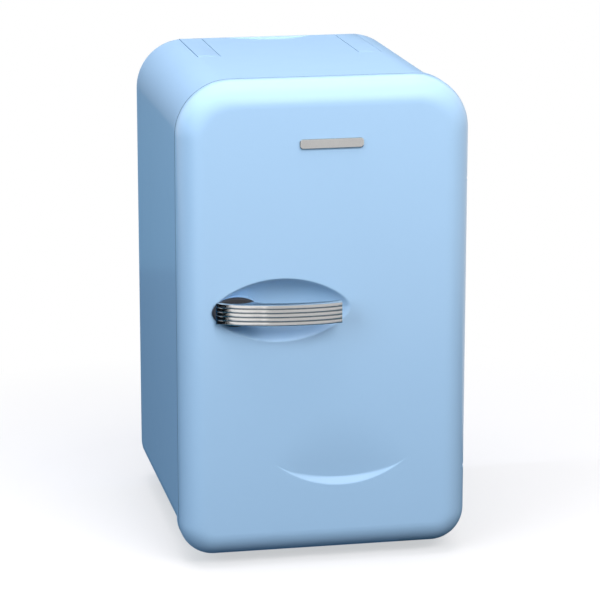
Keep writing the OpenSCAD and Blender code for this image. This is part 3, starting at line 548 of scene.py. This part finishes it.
def arm_solids(gap, over):
    """The space of each arm with its round end, grown by a gap; over is added on top."""
    top, overlap = GRIP_HI.z, 2 * MM
    for side in (-1, 1):
        x0, x1 = sorted((side * (ARM_IN - gap), side * (ARM_OUT + gap)))
        block("arm", (x0, PIVOT.y, top - ARM_T - gap), (x1, GRIP_FRONT + overlap, top + over))
        yield done()
        tube_x("eye", ARM_END_R + gap, x0, x1, PIVOT.y, PIVOT.z)
        bpy.ops.mesh.bisect(plane_co=(0, 0, top + over), plane_no=(0, 0, 1),
                            clear_outer=True, use_fill=True)
        yield done()


def scoop_cutter():
    """A ball's segment, for the fingertips before the grip."""
    run, width, rise = 18 * MM, 78 * MM, 30 * MM
    behind, below = GRIP_FRONT + 1 * MM, GRIP_LO.z - 1.3 * MM
    flat_r = ((width / 2) ** 2 + run ** 2) / (2 * run)
    start("scoop", "uv_sphere", segments=160, ring_count=120, radius=math.hypot(flat_r, rise))
    bpy.ops.transform.translate(value=(0, GRIP_FRONT - run + flat_r, CASE_HI.z + rise))
    for at, way in (((0, behind, 0), (0, 1, 0)), ((0, 0, below), (0, 0, -1))):
        bpy.ops.mesh.select_all(action="SELECT")
        bpy.ops.mesh.bisect(plane_co=at, plane_no=way, clear_outer=True, use_fill=True)
    return done()


def case_cutters():
    """Solids for the handle's grooves, the grip's notch and the finger scoop."""
    gap, over = POCKET_GAP, 5 * MM
    block("notch", (-ARM_OUT - gap, GRIP_FRONT - gap, GRIP_LO.z - gap),
          (ARM_OUT + gap, CASE_HI.y + over, CASE_HI.z + over))
    return [done(), *arm_solids(gap, over), scoop_cutter()]


def cover_cutter(name, grow, front, back, radius, segments):
    """A block on the rear cover's outline, grown by a distance, between two planes."""
    rounded_block(name, (COVER_LO.x - grow, front, COVER_LO.z - grow),
                  (COVER_HI.x + grow, back, COVER_HI.z + grow), radius, radius, segments)
    return done()


class FRIDGE_OT_case(bpy.types.Operator):
    """Model the outer case, with the carry handle's grooves and the finger scoop"""

    bl_idname = "fridge.case"
    bl_label = "Outer case"

    def execute(self, context):
        s = sizes()
        wall, rear_wall, roof, rim_d = 3 * MM, 7.5 * MM, 24 * MM, 4 * MM
        recess_gap, lip = 0.3 * MM, 9 * MM
        lo, hi = CASE_LO, CASE_HI
        top_r, bottom_r = s.top_r - s.inset, s.bottom_r - s.inset
        obj = slab_block("outer_case_skin", lo, hi, top_r, bottom_r, s.rear_r, hi.y, 22, 12)
        done()
        hollow = slab_block("hollow", (lo.x + wall, lo.y - wall, lo.z + wall),
                            (hi.x - wall, hi.y - rear_wall, hi.z - roof),
                            top_r - wall, bottom_r - wall,
                            s.rear_r - 6 * MM, hi.y - rear_wall, 16, 4)
        done()
        mouth = rounded_block("mouth", (lo.x + wall, lo.y - wall, lo.z + wall),
                              (hi.x - wall, lo.y + rim_d, hi.z - wall),
                              top_r - wall, bottom_r - wall, 22)
        done()
        recess = cover_cutter("recess", recess_gap, COVER_LO.y, hi.y + wall, 12 * MM, 8)
        window = cover_cutter("window", -lip, hi.y - 2 * rear_wall, hi.y + wall, 4 * MM, 4)
        carve(obj, hollow, mouth, recess, window, *case_cutters())
        soften(obj)
        finished(obj, "body", "cabinet", "body_colour", "outer_case")
        return {"FINISHED"}


class FRIDGE_OT_carry_handle(bpy.types.Operator):
    """Model the folding carry handle: a U of two flat arms and a grip"""

    bl_idname = "fridge.carry_handle"
    bl_label = "Carry handle"

    def execute(self, context):
        top = GRIP_HI.z
        grip = block("carry_handle_skin", (-ARM_OUT, GRIP_FRONT, GRIP_LO.z),
                     (ARM_OUT, GRIP_HI.y, top))
        pick(grip, "edges",
             lambda e: along(0, e) and level(e, 1, GRIP_HI.y) and level(e, 2, top))
        bevel(sizes().rear_r, 12)
        done()
        carve(grip, *arm_solids(0, 0), operation="UNION")
        soften(grip)
        finished(grip, "body", "carry", "body_colour", "carry_handle")
        return {"FINISHED"}


# ---- the door ---------------------------------------------------------------


def outward(t):
    """Direction out of the dish's outline at the angle t."""
    s = sizes()
    way = Vector((math.cos(t) / s.dish_a, 0, math.sin(t) / s.dish_b))
    return way.normalized()


def dish_radii():
    """Radius of the dish's profile arc, and how far its axis lies before the face."""
    s = sizes()
    arc = (s.dish_a ** 2 + s.dish_depth ** 2) / (2 * s.dish_depth)
    axis = (s.dish_b ** 2 - s.dish_depth ** 2) / (2 * s.dish_depth)
    return arc, axis


def eased(depth, soft):
    """The depth, its edge at the face rounded over the given softness."""
    if depth <= -soft:
        return 0.0
    return depth if depth >= soft else (depth + soft) ** 2 / (4 * soft)


def dish_depth(x, z):
    """Depth of the finger dish below the door's face, negative outside it."""
    arc, axis = dish_radii()
    radius = math.sqrt(max(arc ** 2 - x * x, 0)) - arc + sizes().dish_depth + axis
    square = radius * abs(radius) - z * z
    if square > axis ** 2:
        return math.sqrt(square) - axis
    return (square - axis ** 2) / (2 * axis)


def smile_depth(x, z):
    """Depth of the hollow above the curved lip, x and z counted from the lip's middle."""
    s = sizes()
    foot = s.smile_depth * LIP_SLOPE - s.smile_r
    hollow = s.smile_depth - (z - foot) * LIP_TILT - x * x / (2 * LIP_ROLL)
    rise = (s.smile_r - math.hypot(x, z)) / LIP_SLOPE
    return min(eased(rise, LIP_SOFT), eased(hollow, HOLLOW_SOFT))


def patch(name, across, stations, place):
    """A relief moulded from a grid: place(share across, station) gives each point."""
    rows = len(stations) - 1
    obj = start(name, "grid", x_subdivisions=across, y_subdivisions=rows, size=1)
    mesh = bmesh.from_edit_mesh(obj.data)
    for vert in mesh.verts:
        row = round((vert.co.y + 0.5) * rows)
        vert.co = place(vert.co.x + 0.5, stations[row])
    bmesh.update_edit_mesh(obj.data)
    bpy.ops.mesh.remove_doubles(threshold=MERGE_FINE)
    bpy.ops.object.mode_set(mode="OBJECT")
    return obj


def dish_relief():
    """The finger dish with its softly rolled rim, as rings about its middle."""
    s = sizes()
    arc, axis = dish_radii()

    def place(share, station):
        t = 2 * math.pi * share
        x = s.dish_a * math.cos(t)
        radius = math.sqrt(max(arc ** 2 - x * x, 0)) - arc + s.dish_depth + axis
        z = math.copysign(math.sqrt(max(radius ** 2 - axis ** 2, 0)), math.sin(t))
        if station > 1:
            x, _, z = Vector((x, 0, z)) + outward(t) * (station - 1)
        else:
            x, z = x * station, z * station
        more = RIM_SOFT_TOP if t < math.pi else RIM_SOFT_FOOT
        soft = (RIM_SOFT + more * math.sin(t) ** 2) * MM
        return Vector((DISH.x + x, DISH.y + eased(dish_depth(x, z), soft), DISH.z + z))

    rim = [1 + d * MM for d in (4.6, 4.1, 3.6, 3.0, 2.5, 2.1, 1.7, 1.4, 1.1, 0.8, 0.5, 0.25)]
    inner = [1.0, 0.99, 0.98, 0.97, 0.96, 0.945, 0.93, 0.91, 0.89, 0.86, 0.83, 0.8, 0.76,
             0.71, 0.66, 0.6, 0.54, 0.47, 0.4, 0.33, 0.26, 0.19, 0.12, 0.06, 0.0]
    return patch("dish_relief", 160, rim + inner, place)


def smile_relief():
    """The shallow hollow over its curved lip, as a fan about the lip's middle."""
    s = sizes()
    reach = math.radians(104)

    def place(share, station):
        turn = (share - 0.5) * reach
        x, z = station * math.sin(turn), -station * math.cos(turn)
        return Vector((SMILE.x + x, SMILE.y + smile_depth(x, z), SMILE.z + z))

    near = [s.smile_r + d * MM for d in (
        6, 3, 1.5, 1.0, 0.7, 0.45, 0.2, 0, -0.2, -0.45, -0.8, -1.3, -2, -3, -4, -5, -6, -6.8,
        -7.3, -7.7, -8.1, -8.6, -9.4, -10.5)]
    far = [s.smile_r - d * MM for d in (
        12, 14, 17, 20, 24, 28, 32, 36, 40, 44, 48, 52, 56, 61, 66, 71)]
    return patch("smile_relief", 120, near + far, place)


def join_into(obj, *others):
    clear_selection()
    for other in others:
        other.select_set(True)
    obj.select_set(True)
    bpy.context.view_layer.objects.active = obj
    bpy.ops.object.join()


def oval(name, wide, high, depth, back):
    """A flat oval whose back face is centred on the given point, in edit mode."""
    obj = start(name, "cylinder", vertices=128, radius=0.5, depth=depth)
    bpy.ops.transform.rotate(value=math.pi / 2, orient_axis="X", center_override=(0, 0, 0))
    bpy.ops.transform.resize(value=(wide, 1, high))
    bpy.ops.transform.translate(value=back - Vector((0, depth / 2, 0)))
    return obj


class FRIDGE_OT_door(bpy.types.Operator):
    """Model the door's outer moulding, with the finger dish, the boss and the lip"""

    bl_idname = "fridge.door"
    bl_label = "Door"

    def execute(self, context):
        s = sizes()
        lo, hi = DOOR_LO, DOOR_HI
        obj = rounded_block("door_skin", lo, hi, s.top_r, s.bottom_r, 24)
        pick(obj, "edges", lambda e: level(e, 1, lo.y))
        bevel(s.front_r, 14)
        pick(obj, "faces", lambda f: f.normal.y < -0.999 and level(f, 1, lo.y))
        bpy.ops.mesh.inset(thickness=0.8 * MM)
        pick(obj, "faces", lambda f: f.normal.y < -0.999 and len(f.verts) > 8)
        bpy.ops.mesh.delete(type="FACE")
        done()

        join_into(obj, dish_relief(), smile_relief())
        to_edit(obj)
        pick(obj, "edges", lambda e: e.is_boundary and level(e, 1, lo.y))
        bpy.ops.mesh.fill(use_beauty=True)
        done()
        tidy_mesh(obj, 40.0)

        rim, cavity, hinge_side = 3 * MM, 12 * MM, 8 * MM
        hollow = rounded_block("hollow", (lo.x + rim, hi.y - cavity, lo.z + rim),
                               (HINGE.x - hinge_side, hi.y + rim, hi.z - rim),
                               s.top_r - rim, s.bottom_r - rim, 24)
        done()
        carve(obj, hollow, seam_cutter(), hinge_relief())
        depth, step, sunk = s.dish_depth + 2 * MM, 1 * MM, 0.05 * MM
        boss = oval("boss", ROOT_W - step, ROOT_H - step, depth,
                    Vector((ROOT_X, lo.y + sunk + depth, DISH.z)))
        done()
        carve(obj, boss, operation="UNION")
        tidy_mesh(obj, 40.0)
        apply(obj, "WEIGHTED_NORMAL", keep_sharp=True, weight=60)
        finished(obj, "body", "door", "body_colour", "door_shell")
        # Paints shade into the groove of the parting line
        shade_seam(obj)
        return {"FINISHED"}


def shade_seam(obj):
    """Gives the faces inside the parting line the darker material that paints the shade in the
    groove.
    """
    obj.data.materials.append(finish("body_seam"))
    obj.active_material_index = 1
    to_edit(obj)
    pick(obj, "faces", lambda f: all(
        SEAM_Y - SEAM_WIDE - NEAR < v.co.y < SEAM_Y + NEAR for v in f.verts))
    bpy.ops.object.material_slot_assign()
    done()


def seam_cutter():
    """A thin ring that scores the parting line round the door's side."""
    s = sizes()
    deep, wide, y = SEAM_DEEP, SEAM_WIDE, SEAM_Y
    ring = block("seam", (DOOR_LO.x - deep, y - wide, DOOR_LO.z - deep),
                 (DOOR_HI.x + deep, y, DOOR_HI.z + deep))
    done()
    rounded_block("core", (DOOR_LO.x + deep, y - 2 * wide, DOOR_LO.z + deep),
                  (DOOR_HI.x - deep, y + wide, DOOR_HI.z - deep), s.top_r - deep,
                  s.bottom_r - deep, 24)
    carve(ring, done())
    return ring


def hinge_relief():
    """What is cut from the door's rear edge so that it turns clear about the hinge."""
    back = DOOR_HI.y - HINGE.y
    far = HINGE + Vector((2 * back, 2 * back, 0))
    cutter = block("hinge_relief", (HINGE.x, HINGE.y, 0), (far.x, far.y, DOOR_HI.z + back))
    done()
    start("round_part", "cylinder", vertices=192, radius=back, depth=1)
    bpy.ops.transform.translate(value=(HINGE.x, HINGE.y, 0))
    carve(cutter, done())
    half, thick, bush_r, bush_l = 5 * MM, 1.75 * MM, 5 * MM, 14.75 * MM
    slant = math.radians(30)
    for z, way in zip(HINGE_HEIGHTS, (1, -1)):
        block("slot", (HINGE.x - half, HINGE.y, z - thick), (far.x, far.y, z + thick))
        pieces = [done()]
        block("slot_side", (HINGE.x, HINGE.y - half, z - thick),
              (far.x, HINGE.y + half, z + thick))
        bpy.ops.transform.rotate(value=slant, orient_axis="Z", center_override=HINGE)
        pieces.append(done())
        start("bush_hole", "cylinder", vertices=64, radius=bush_r, depth=bush_l + thick)
        bpy.ops.transform.translate(value=(HINGE.x, HINGE.y, z + way * (bush_l - thick) / 2))
        pieces.append(done())
        carve(cutter, *pieces, operation="UNION")
    return cutter


# ---- handle and badge -------------------------------------------------------


def bezier(points, t):
    a, b, c, d = points
    u = 1 - t
    return tuple(u ** 3 * w + 3 * u * u * t * x + 3 * u * t * t * y + t ** 3 * z
                 for w, x, y, z in zip(a, b, c, d))


def bar_section(share, rib):
    """Front and back points of the bar's plan at a share of its length, in mm from the
    dish's middle and out of the face; rib is how far the front stands proud there."""
    reach = (DISH.y - BAR_LO.y) / MM - RIB_DEEP
    thick = BAR_THICK
    if share < 0.5:
        t = share * 2
        front = bezier([(-BAR_END, 3), (-50.5, 10 + rib), (-36, reach - 8.1 + rib),
                        (-19.5, reach - 4.3 + rib)], t)
        back = bezier([(-26, 3), (-22.5, 4), (-20.5, 7), (-18, reach - 5 - thick)], t)
    else:
        t = share * 2 - 1
        front = bezier([(-18.5, reach - 4 + rib), (-7.5, reach - 0.8 + rib),
                        (28.5, reach + 2.2 + rib), (49.5, reach - 3.3 + rib)], t)
        back = bezier([(-16.5, reach - 4.3 - thick), (-5.5, reach - 0.8 - thick),
                       (28.5, reach + 2.2 - thick), (49.5, reach - 3.3 - thick)], t)
    return front, back


def bar_outline():
    """The bar's cross-section: (height, rib height, share towards the back)."""
    half = (BAR_HI.z - BAR_LO.z) / 2
    ribs, steps = sizes().ribs, 16
    points = []
    for step in range(ribs * steps + 1):
        place = step / (ribs * steps)
        phase = (place * ribs) % 1.0 if step < ribs * steps else 1.0
        crest = max(0.0, 1 - (2 * phase - 1) ** 6) ** 0.5
        points.append((half * (1 - 2 * place) * 0.97, RIB_DEEP * (crest - 0.02), 0.0))
    edge = [(1.0, 0.12), (1.0, 0.88), (0.97, 0.97), (0.9, 1.0)]
    lower = [(-half * z, 0.0, w) for z, w in edge]
    upper = [(half * z, 0.0, w) for z, w in reversed(edge)]
    return points + lower + upper


class FRIDGE_OT_handle(bpy.types.Operator):
    """Model the door handle's bar: five rounded ribs swept along its bent plan"""

    bl_idname = "fridge.handle"
    bl_label = "Door handle"

    def execute(self, context):
        outline = bar_outline()
        count, length = len(outline), 72

        def place(share, station):
            height, rib, back = outline[round(share * count) % count]
            near, far = bar_section(station, rib)
            x, out = (a + (b - a) * back for a, b in zip(near, far))
            return Vector((DISH.x + x * MM, DISH.y - out * MM, DISH.z + height))

        obj = patch("handle_bar_skin", count, [i / length for i in range(length + 1)], place)
        to_edit(obj)
        pick(obj, "edges", lambda e: e.is_boundary)
        bpy.ops.mesh.fill(use_beauty=False)
        done()
        tidy_mesh(obj, 38.0, MERGE_FINE)
        finished(obj, "bright", "door", "chrome", "handle_bar")
        return {"FINISHED"}


class FRIDGE_OT_handle_base(bpy.types.Operator):
    """Model the oval under the handle's root, its rim rounded"""

    bl_idname = "fridge.handle_base"
    bl_label = "Handle base"

    def execute(self, context):
        obj = oval("handle_base_skin", ROOT_W, ROOT_H, BASE_HI.y - BASE_LO.y,
                   Vector((ROOT_X, BASE_HI.y, DISH.z)))
        pick(obj, "edges", lambda e: level(e, 1, BASE_LO.y))
        bevel(1.8 * MM, 5)
        done()
        tidy_mesh(obj, 40.0)
        apply(obj, "WEIGHTED_NORMAL", keep_sharp=True, weight=60)
        finished(obj, "black", "door", "black_plastic", "handle_base")
        return {"FINISHED"}


class FRIDGE_OT_badge(bpy.types.Operator):
    """Model the plain bar that stands where the badge is, its edges rounded"""

    bl_idname = "fridge.badge"
    bl_label = "Badge bar"

    def execute(self, context):
        radius = 3 * MM
        obj = rounded_block("badge_bar_skin", BADGE_LO, BADGE_HI, radius, radius, 8)
        pick(obj, "edges", lambda e: level(e, 1, BADGE_LO.y))
        bevel(1.1 * MM, 5)
        done()
        tidy_mesh(obj, 40.0)
        apply(obj, "WEIGHTED_NORMAL", keep_sharp=True, weight=60)
        finished(obj, "bright", "door", "chrome", "badge_bar")
        return {"FINISHED"}


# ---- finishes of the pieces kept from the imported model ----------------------

KEPT = {
    "white": ("white_plastic", ["inner_liner", "cold_cover", "door_liner"]),
    "grey": ("cover_grey", ["rear_cover"]),
    "black": ("black_plastic", [
        "handle_base", "cold_fan_frame", "cold_fan_rotor", "hot_fan_frame", "hot_fan_rotor",
        "mode_switch_housing", "mode_rocker", "ac_inlet", "dc_inlet"]),
    "steel": ("steel", [
        "rear_cover_screws", "foot_screws", "hinge_bracket_lower", "hinge_bracket_upper",
        "hinge_screws", "carry_handle_pins", "fan_screws", "handle_screws"]),
    "aluminium": ("aluminium", ["cold_sink", "hot_sink", "spacer_block"]),
    "ceramic": ("ceramic", ["peltier_module"]),
    "foam": ("foam", ["case_foam", "door_foam"]),
    "foot": ("rubber_grey", [
        "foot_front_left", "foot_front_right", "foot_rear_left", "foot_rear_right"]),
    "seal": ("seal_grey", ["door_gasket"]),
    "nylon": ("nylon", ["hinge_bush_lower", "hinge_bush_upper", "board_standoffs"]),
    "clear": ("clear_plastic", ["shelf", "door_rack_lower", "door_rack_upper"]),
    "board": ("board_green", ["power_board"]),
    "green_lens": ("lamp_green", ["cold_lamp"]),
    "red_lens": ("lamp_red", ["hot_lamp"]),
    "body": ("body_colour", ["outer_case", "door_shell", "carry_handle"]),
    "bright": ("chrome", ["handle_bar", "badge_bar"]),
}


class FRIDGE_OT_finishes(bpy.types.Operator):
    """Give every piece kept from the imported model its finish"""

    bl_idname = "fridge.finishes"
    bl_label = "Finishes"

    def execute(self, context):
        for material, (slot, nodes) in KEPT.items():
            for name in nodes:
                node = frame["nodes"][name]
                node.data.materials.clear()
                node.data.materials.append(finish(material))
        return {"FINISHED"}


# ---- the stage --------------------------------------------------------------


# Name, place, aimed at, width and height, power, colour
LAMPS = [
    ("overhead", (-0.15, -0.1, 1.6), (0, 0.05, 0.2), (1.2, 1.2), 20.5, (1, 0.91, 0.95)),
    ("front", (0.45, -1.3, 1.15), (0, -0.1, 0.36), (1.2, 0.7), 20.5, (1, 0.96, 0.965)),
    ("left_fill", (-1.45, -1.15, 1.05), (0, 0, 0.25), (1.0, 1.4), 20, (0.8, 0.89, 1)),
    ("rear_fill", (0.5, 2.0, 1.0), (0, 0.1, 0.22), (1.4, 1.0), 6, (1, 1, 1)),
]

# Name, place, aimed at or None when it lies on the floor, width and height, colour
BLACK = (0.003, 0.003, 0.004)
CARDS = [
    ("front_board", (1.0, -2.1, 1.5), (1.0, 0, 1.5), (3.0, 3.0), (0.68, 0.68, 0.68)),
    ("front_floor", (0.9, -1.45, 0.002), None, (2.5, 1.3), (0.62, 0.62, 0.62)),
    ("foot_floor", (0.2, -0.35, 0.002), None, (1.6, 0.95), (0.0, 0.07, 0.14)),
    ("left_flag", (-1.145, -0.63, 0.6), (-0.06, -0.145, 0.6), (1.06, 1.2), BLACK),
    ("left_floor", (-1.06, -0.485, 0.002), None, (0.88, 0.77), BLACK),
    ("side_near", (-0.63, 0.4, 0.003), None, (1.4, 1.2), (0.03, 0.12, 0.25)),
    ("side_far", (-0.63, 1.7, 0.003), None, (1.4, 1.4), (0.09, 0.25, 0.43)),
    ("rear_board", (0.4, 2.4, 1.05), (0.4, 0, 1.05), (3.6, 2.1), (0.16, 0.25, 0.36)),
    ("ceiling", (0, -0.2, 2.6), (0, -0.2, 0), (3.0, 2.4), (0.25, 0.3, 0.36)),
]

CAMERA_AT, CAMERA_YAW, CAMERA_PITCH = (-0.4804, -2.42645, 0.8205), -11.25, 13.94
CAMERA_LENS, CAMERA_SENSOR = 168, 36


def lamp(name, place, aim, size, power, colour):
    """A rectangular soft box at place, aimed at a point; staged with the floor."""
    bpy.ops.object.light_add(type="AREA", location=place)
    light = bpy.context.object
    light.name = name
    light.data.shape = "RECTANGLE"
    light.data.size, light.data.size_y = size
    light.data.energy = power
    light.data.color = colour
    light.visible_glossy = False
    light.rotation_euler = (Vector(aim) - Vector(place)).to_track_quat("-Z", "Y").to_euler()


def floor_finish():
    """Pale floor: soft shadow and a faint mirror image near by, plain white far off."""
    f = Finish("floor")
    cloud = f.noise(3.0, 1.0)
    f.set(Base_Color=(0.45, 0.44, 0.425, 1), Roughness=f.between(cloud, 0.12, 0.15),
          Emission_Color=(1, 1, 1, 1), Emission_Strength=0.54, Specular_IOR_Level=0.4)
    near = Sock(f, f.shader.outputs[0])
    white = f.node("ShaderNodeEmission")
    dim = f.node("ShaderNodeBsdfDiffuse", {}, {"Color": (0.05, 0.06, 0.075, 1)})
    away = f.node("ShaderNodeVectorMath", {"operation": "LENGTH"}, {0: f.place()}, output=1)
    seen = f.blend(f.ramp(away, 0.30, 0.60), near, white)
    whole = f.blend(f.looking(), dim, seen)
    f.tree.links.new(whole.socket, f.tree.nodes["Material Output"].inputs["Surface"])
    return f.material


def card(name, place, aim, size, colour):
    """A plain board that only the glossy faces mirror; aimed at None, it lies on the floor."""
    bpy.ops.mesh.primitive_plane_add(size=1, location=place)
    board = bpy.context.object
    board.name = name
    board.scale = (*size, 1)
    if aim:
        way = Vector(aim) - Vector(place)
        board.rotation_euler = way.to_track_quat("Z", "Y").to_euler()
    f = Finish(name)
    board.data.materials.append(f.set(
        Base_Color=(0, 0, 0, 1), Specular_IOR_Level=0.0, Emission_Color=rgba(colour),
        Emission_Strength=1.0))
    board.visible_camera = False
    board.visible_shadow = False
    board.visible_diffuse = False


class FRIDGE_OT_stage(bpy.types.Operator):
    """Set out the floor, the lights, the white surround and the camera"""

    bl_idname = "fridge.stage"
    bl_label = "Stage"

    def execute(self, context):
        clear_selection()
        bpy.ops.mesh.primitive_plane_add(size=30, location=(0, 0, 0))
        floor = context.object
        floor.name = "floor"
        floor.data.materials.append(floor_finish())

        world = bpy.data.worlds.new("surround")
        context.scene.world = world
        world.use_nodes = True
        around = Graph(world.node_tree)
        sky = around.node("ShaderNodeBackground", {}, {"Color": (0.80, 0.90, 1, 1),
                                                       "Strength": 0.32})
        white = around.node("ShaderNodeBackground", {}, {"Color": (1, 1, 1, 1)})
        whole = around.blend(around.looking(), sky, white)
        around.tree.links.new(whole.socket, around.tree.nodes["World Output"].inputs["Surface"])

        for light in LAMPS:
            lamp(*light)
        for board in CARDS:
            card(*board)

        bpy.ops.object.camera_add(location=CAMERA_AT)
        camera = context.object
        camera.name = "main_camera"
        yaw, pitch = math.radians(CAMERA_YAW), math.radians(CAMERA_PITCH)
        ahead = Vector((-math.sin(yaw) * math.cos(pitch), math.cos(yaw) * math.cos(pitch),
                        -math.sin(pitch)))
        camera.rotation_euler = ahead.to_track_quat("-Z", "Y").to_euler()
        camera.data.sensor_width = CAMERA_SENSOR
        camera.data.lens = CAMERA_LENS
        camera.data.clip_start = 0.05
        context.scene.camera = camera
        context.scene.view_settings.view_transform = "Standard"
        return {"FINISHED"}


# ---- panel, registration, main ----------------------------------------------


class FRIDGE_PT_main(bpy.types.Panel):
    """Lists the fridge's sizes, colours and steps"""

    bl_idname = "FRIDGE_PT_main"
    bl_label = "Mini Fridge"
    bl_space_type = "VIEW_3D"
    bl_region_type = "UI"
    bl_category = "Fridge"

    def draw(self, context):
        column = self.layout.column()
        for group in (sizes(), colours()):
            for name in group.__annotations__:
                column.prop(group, name)
        for step in STEPS:
            column.operator(step.bl_idname)


STEPS = [FRIDGE_OT_finishes, FRIDGE_OT_case, FRIDGE_OT_carry_handle, FRIDGE_OT_door,
         FRIDGE_OT_handle, FRIDGE_OT_handle_base, FRIDGE_OT_badge, FRIDGE_OT_stage]
CLASSES = [FridgeSizes, FridgeColours, *STEPS, FRIDGE_PT_main]


def register():
    for cls in CLASSES:
        bpy.utils.register_class(cls)
    bpy.types.Scene.fridge_sizes = bpy.props.PointerProperty(type=FridgeSizes)
    bpy.types.Scene.fridge_colours = bpy.props.PointerProperty(type=FridgeColours)


def unregister():
    del bpy.types.Scene.fridge_colours, bpy.types.Scene.fridge_sizes
    for cls in reversed(CLASSES):
        bpy.utils.unregister_class(cls)


def main():
    register()
    for step in STEPS:
        group, name = step.bl_idname.split(".")
        getattr(getattr(bpy.ops, group), name)()


if __name__ == "__main__":
    main()
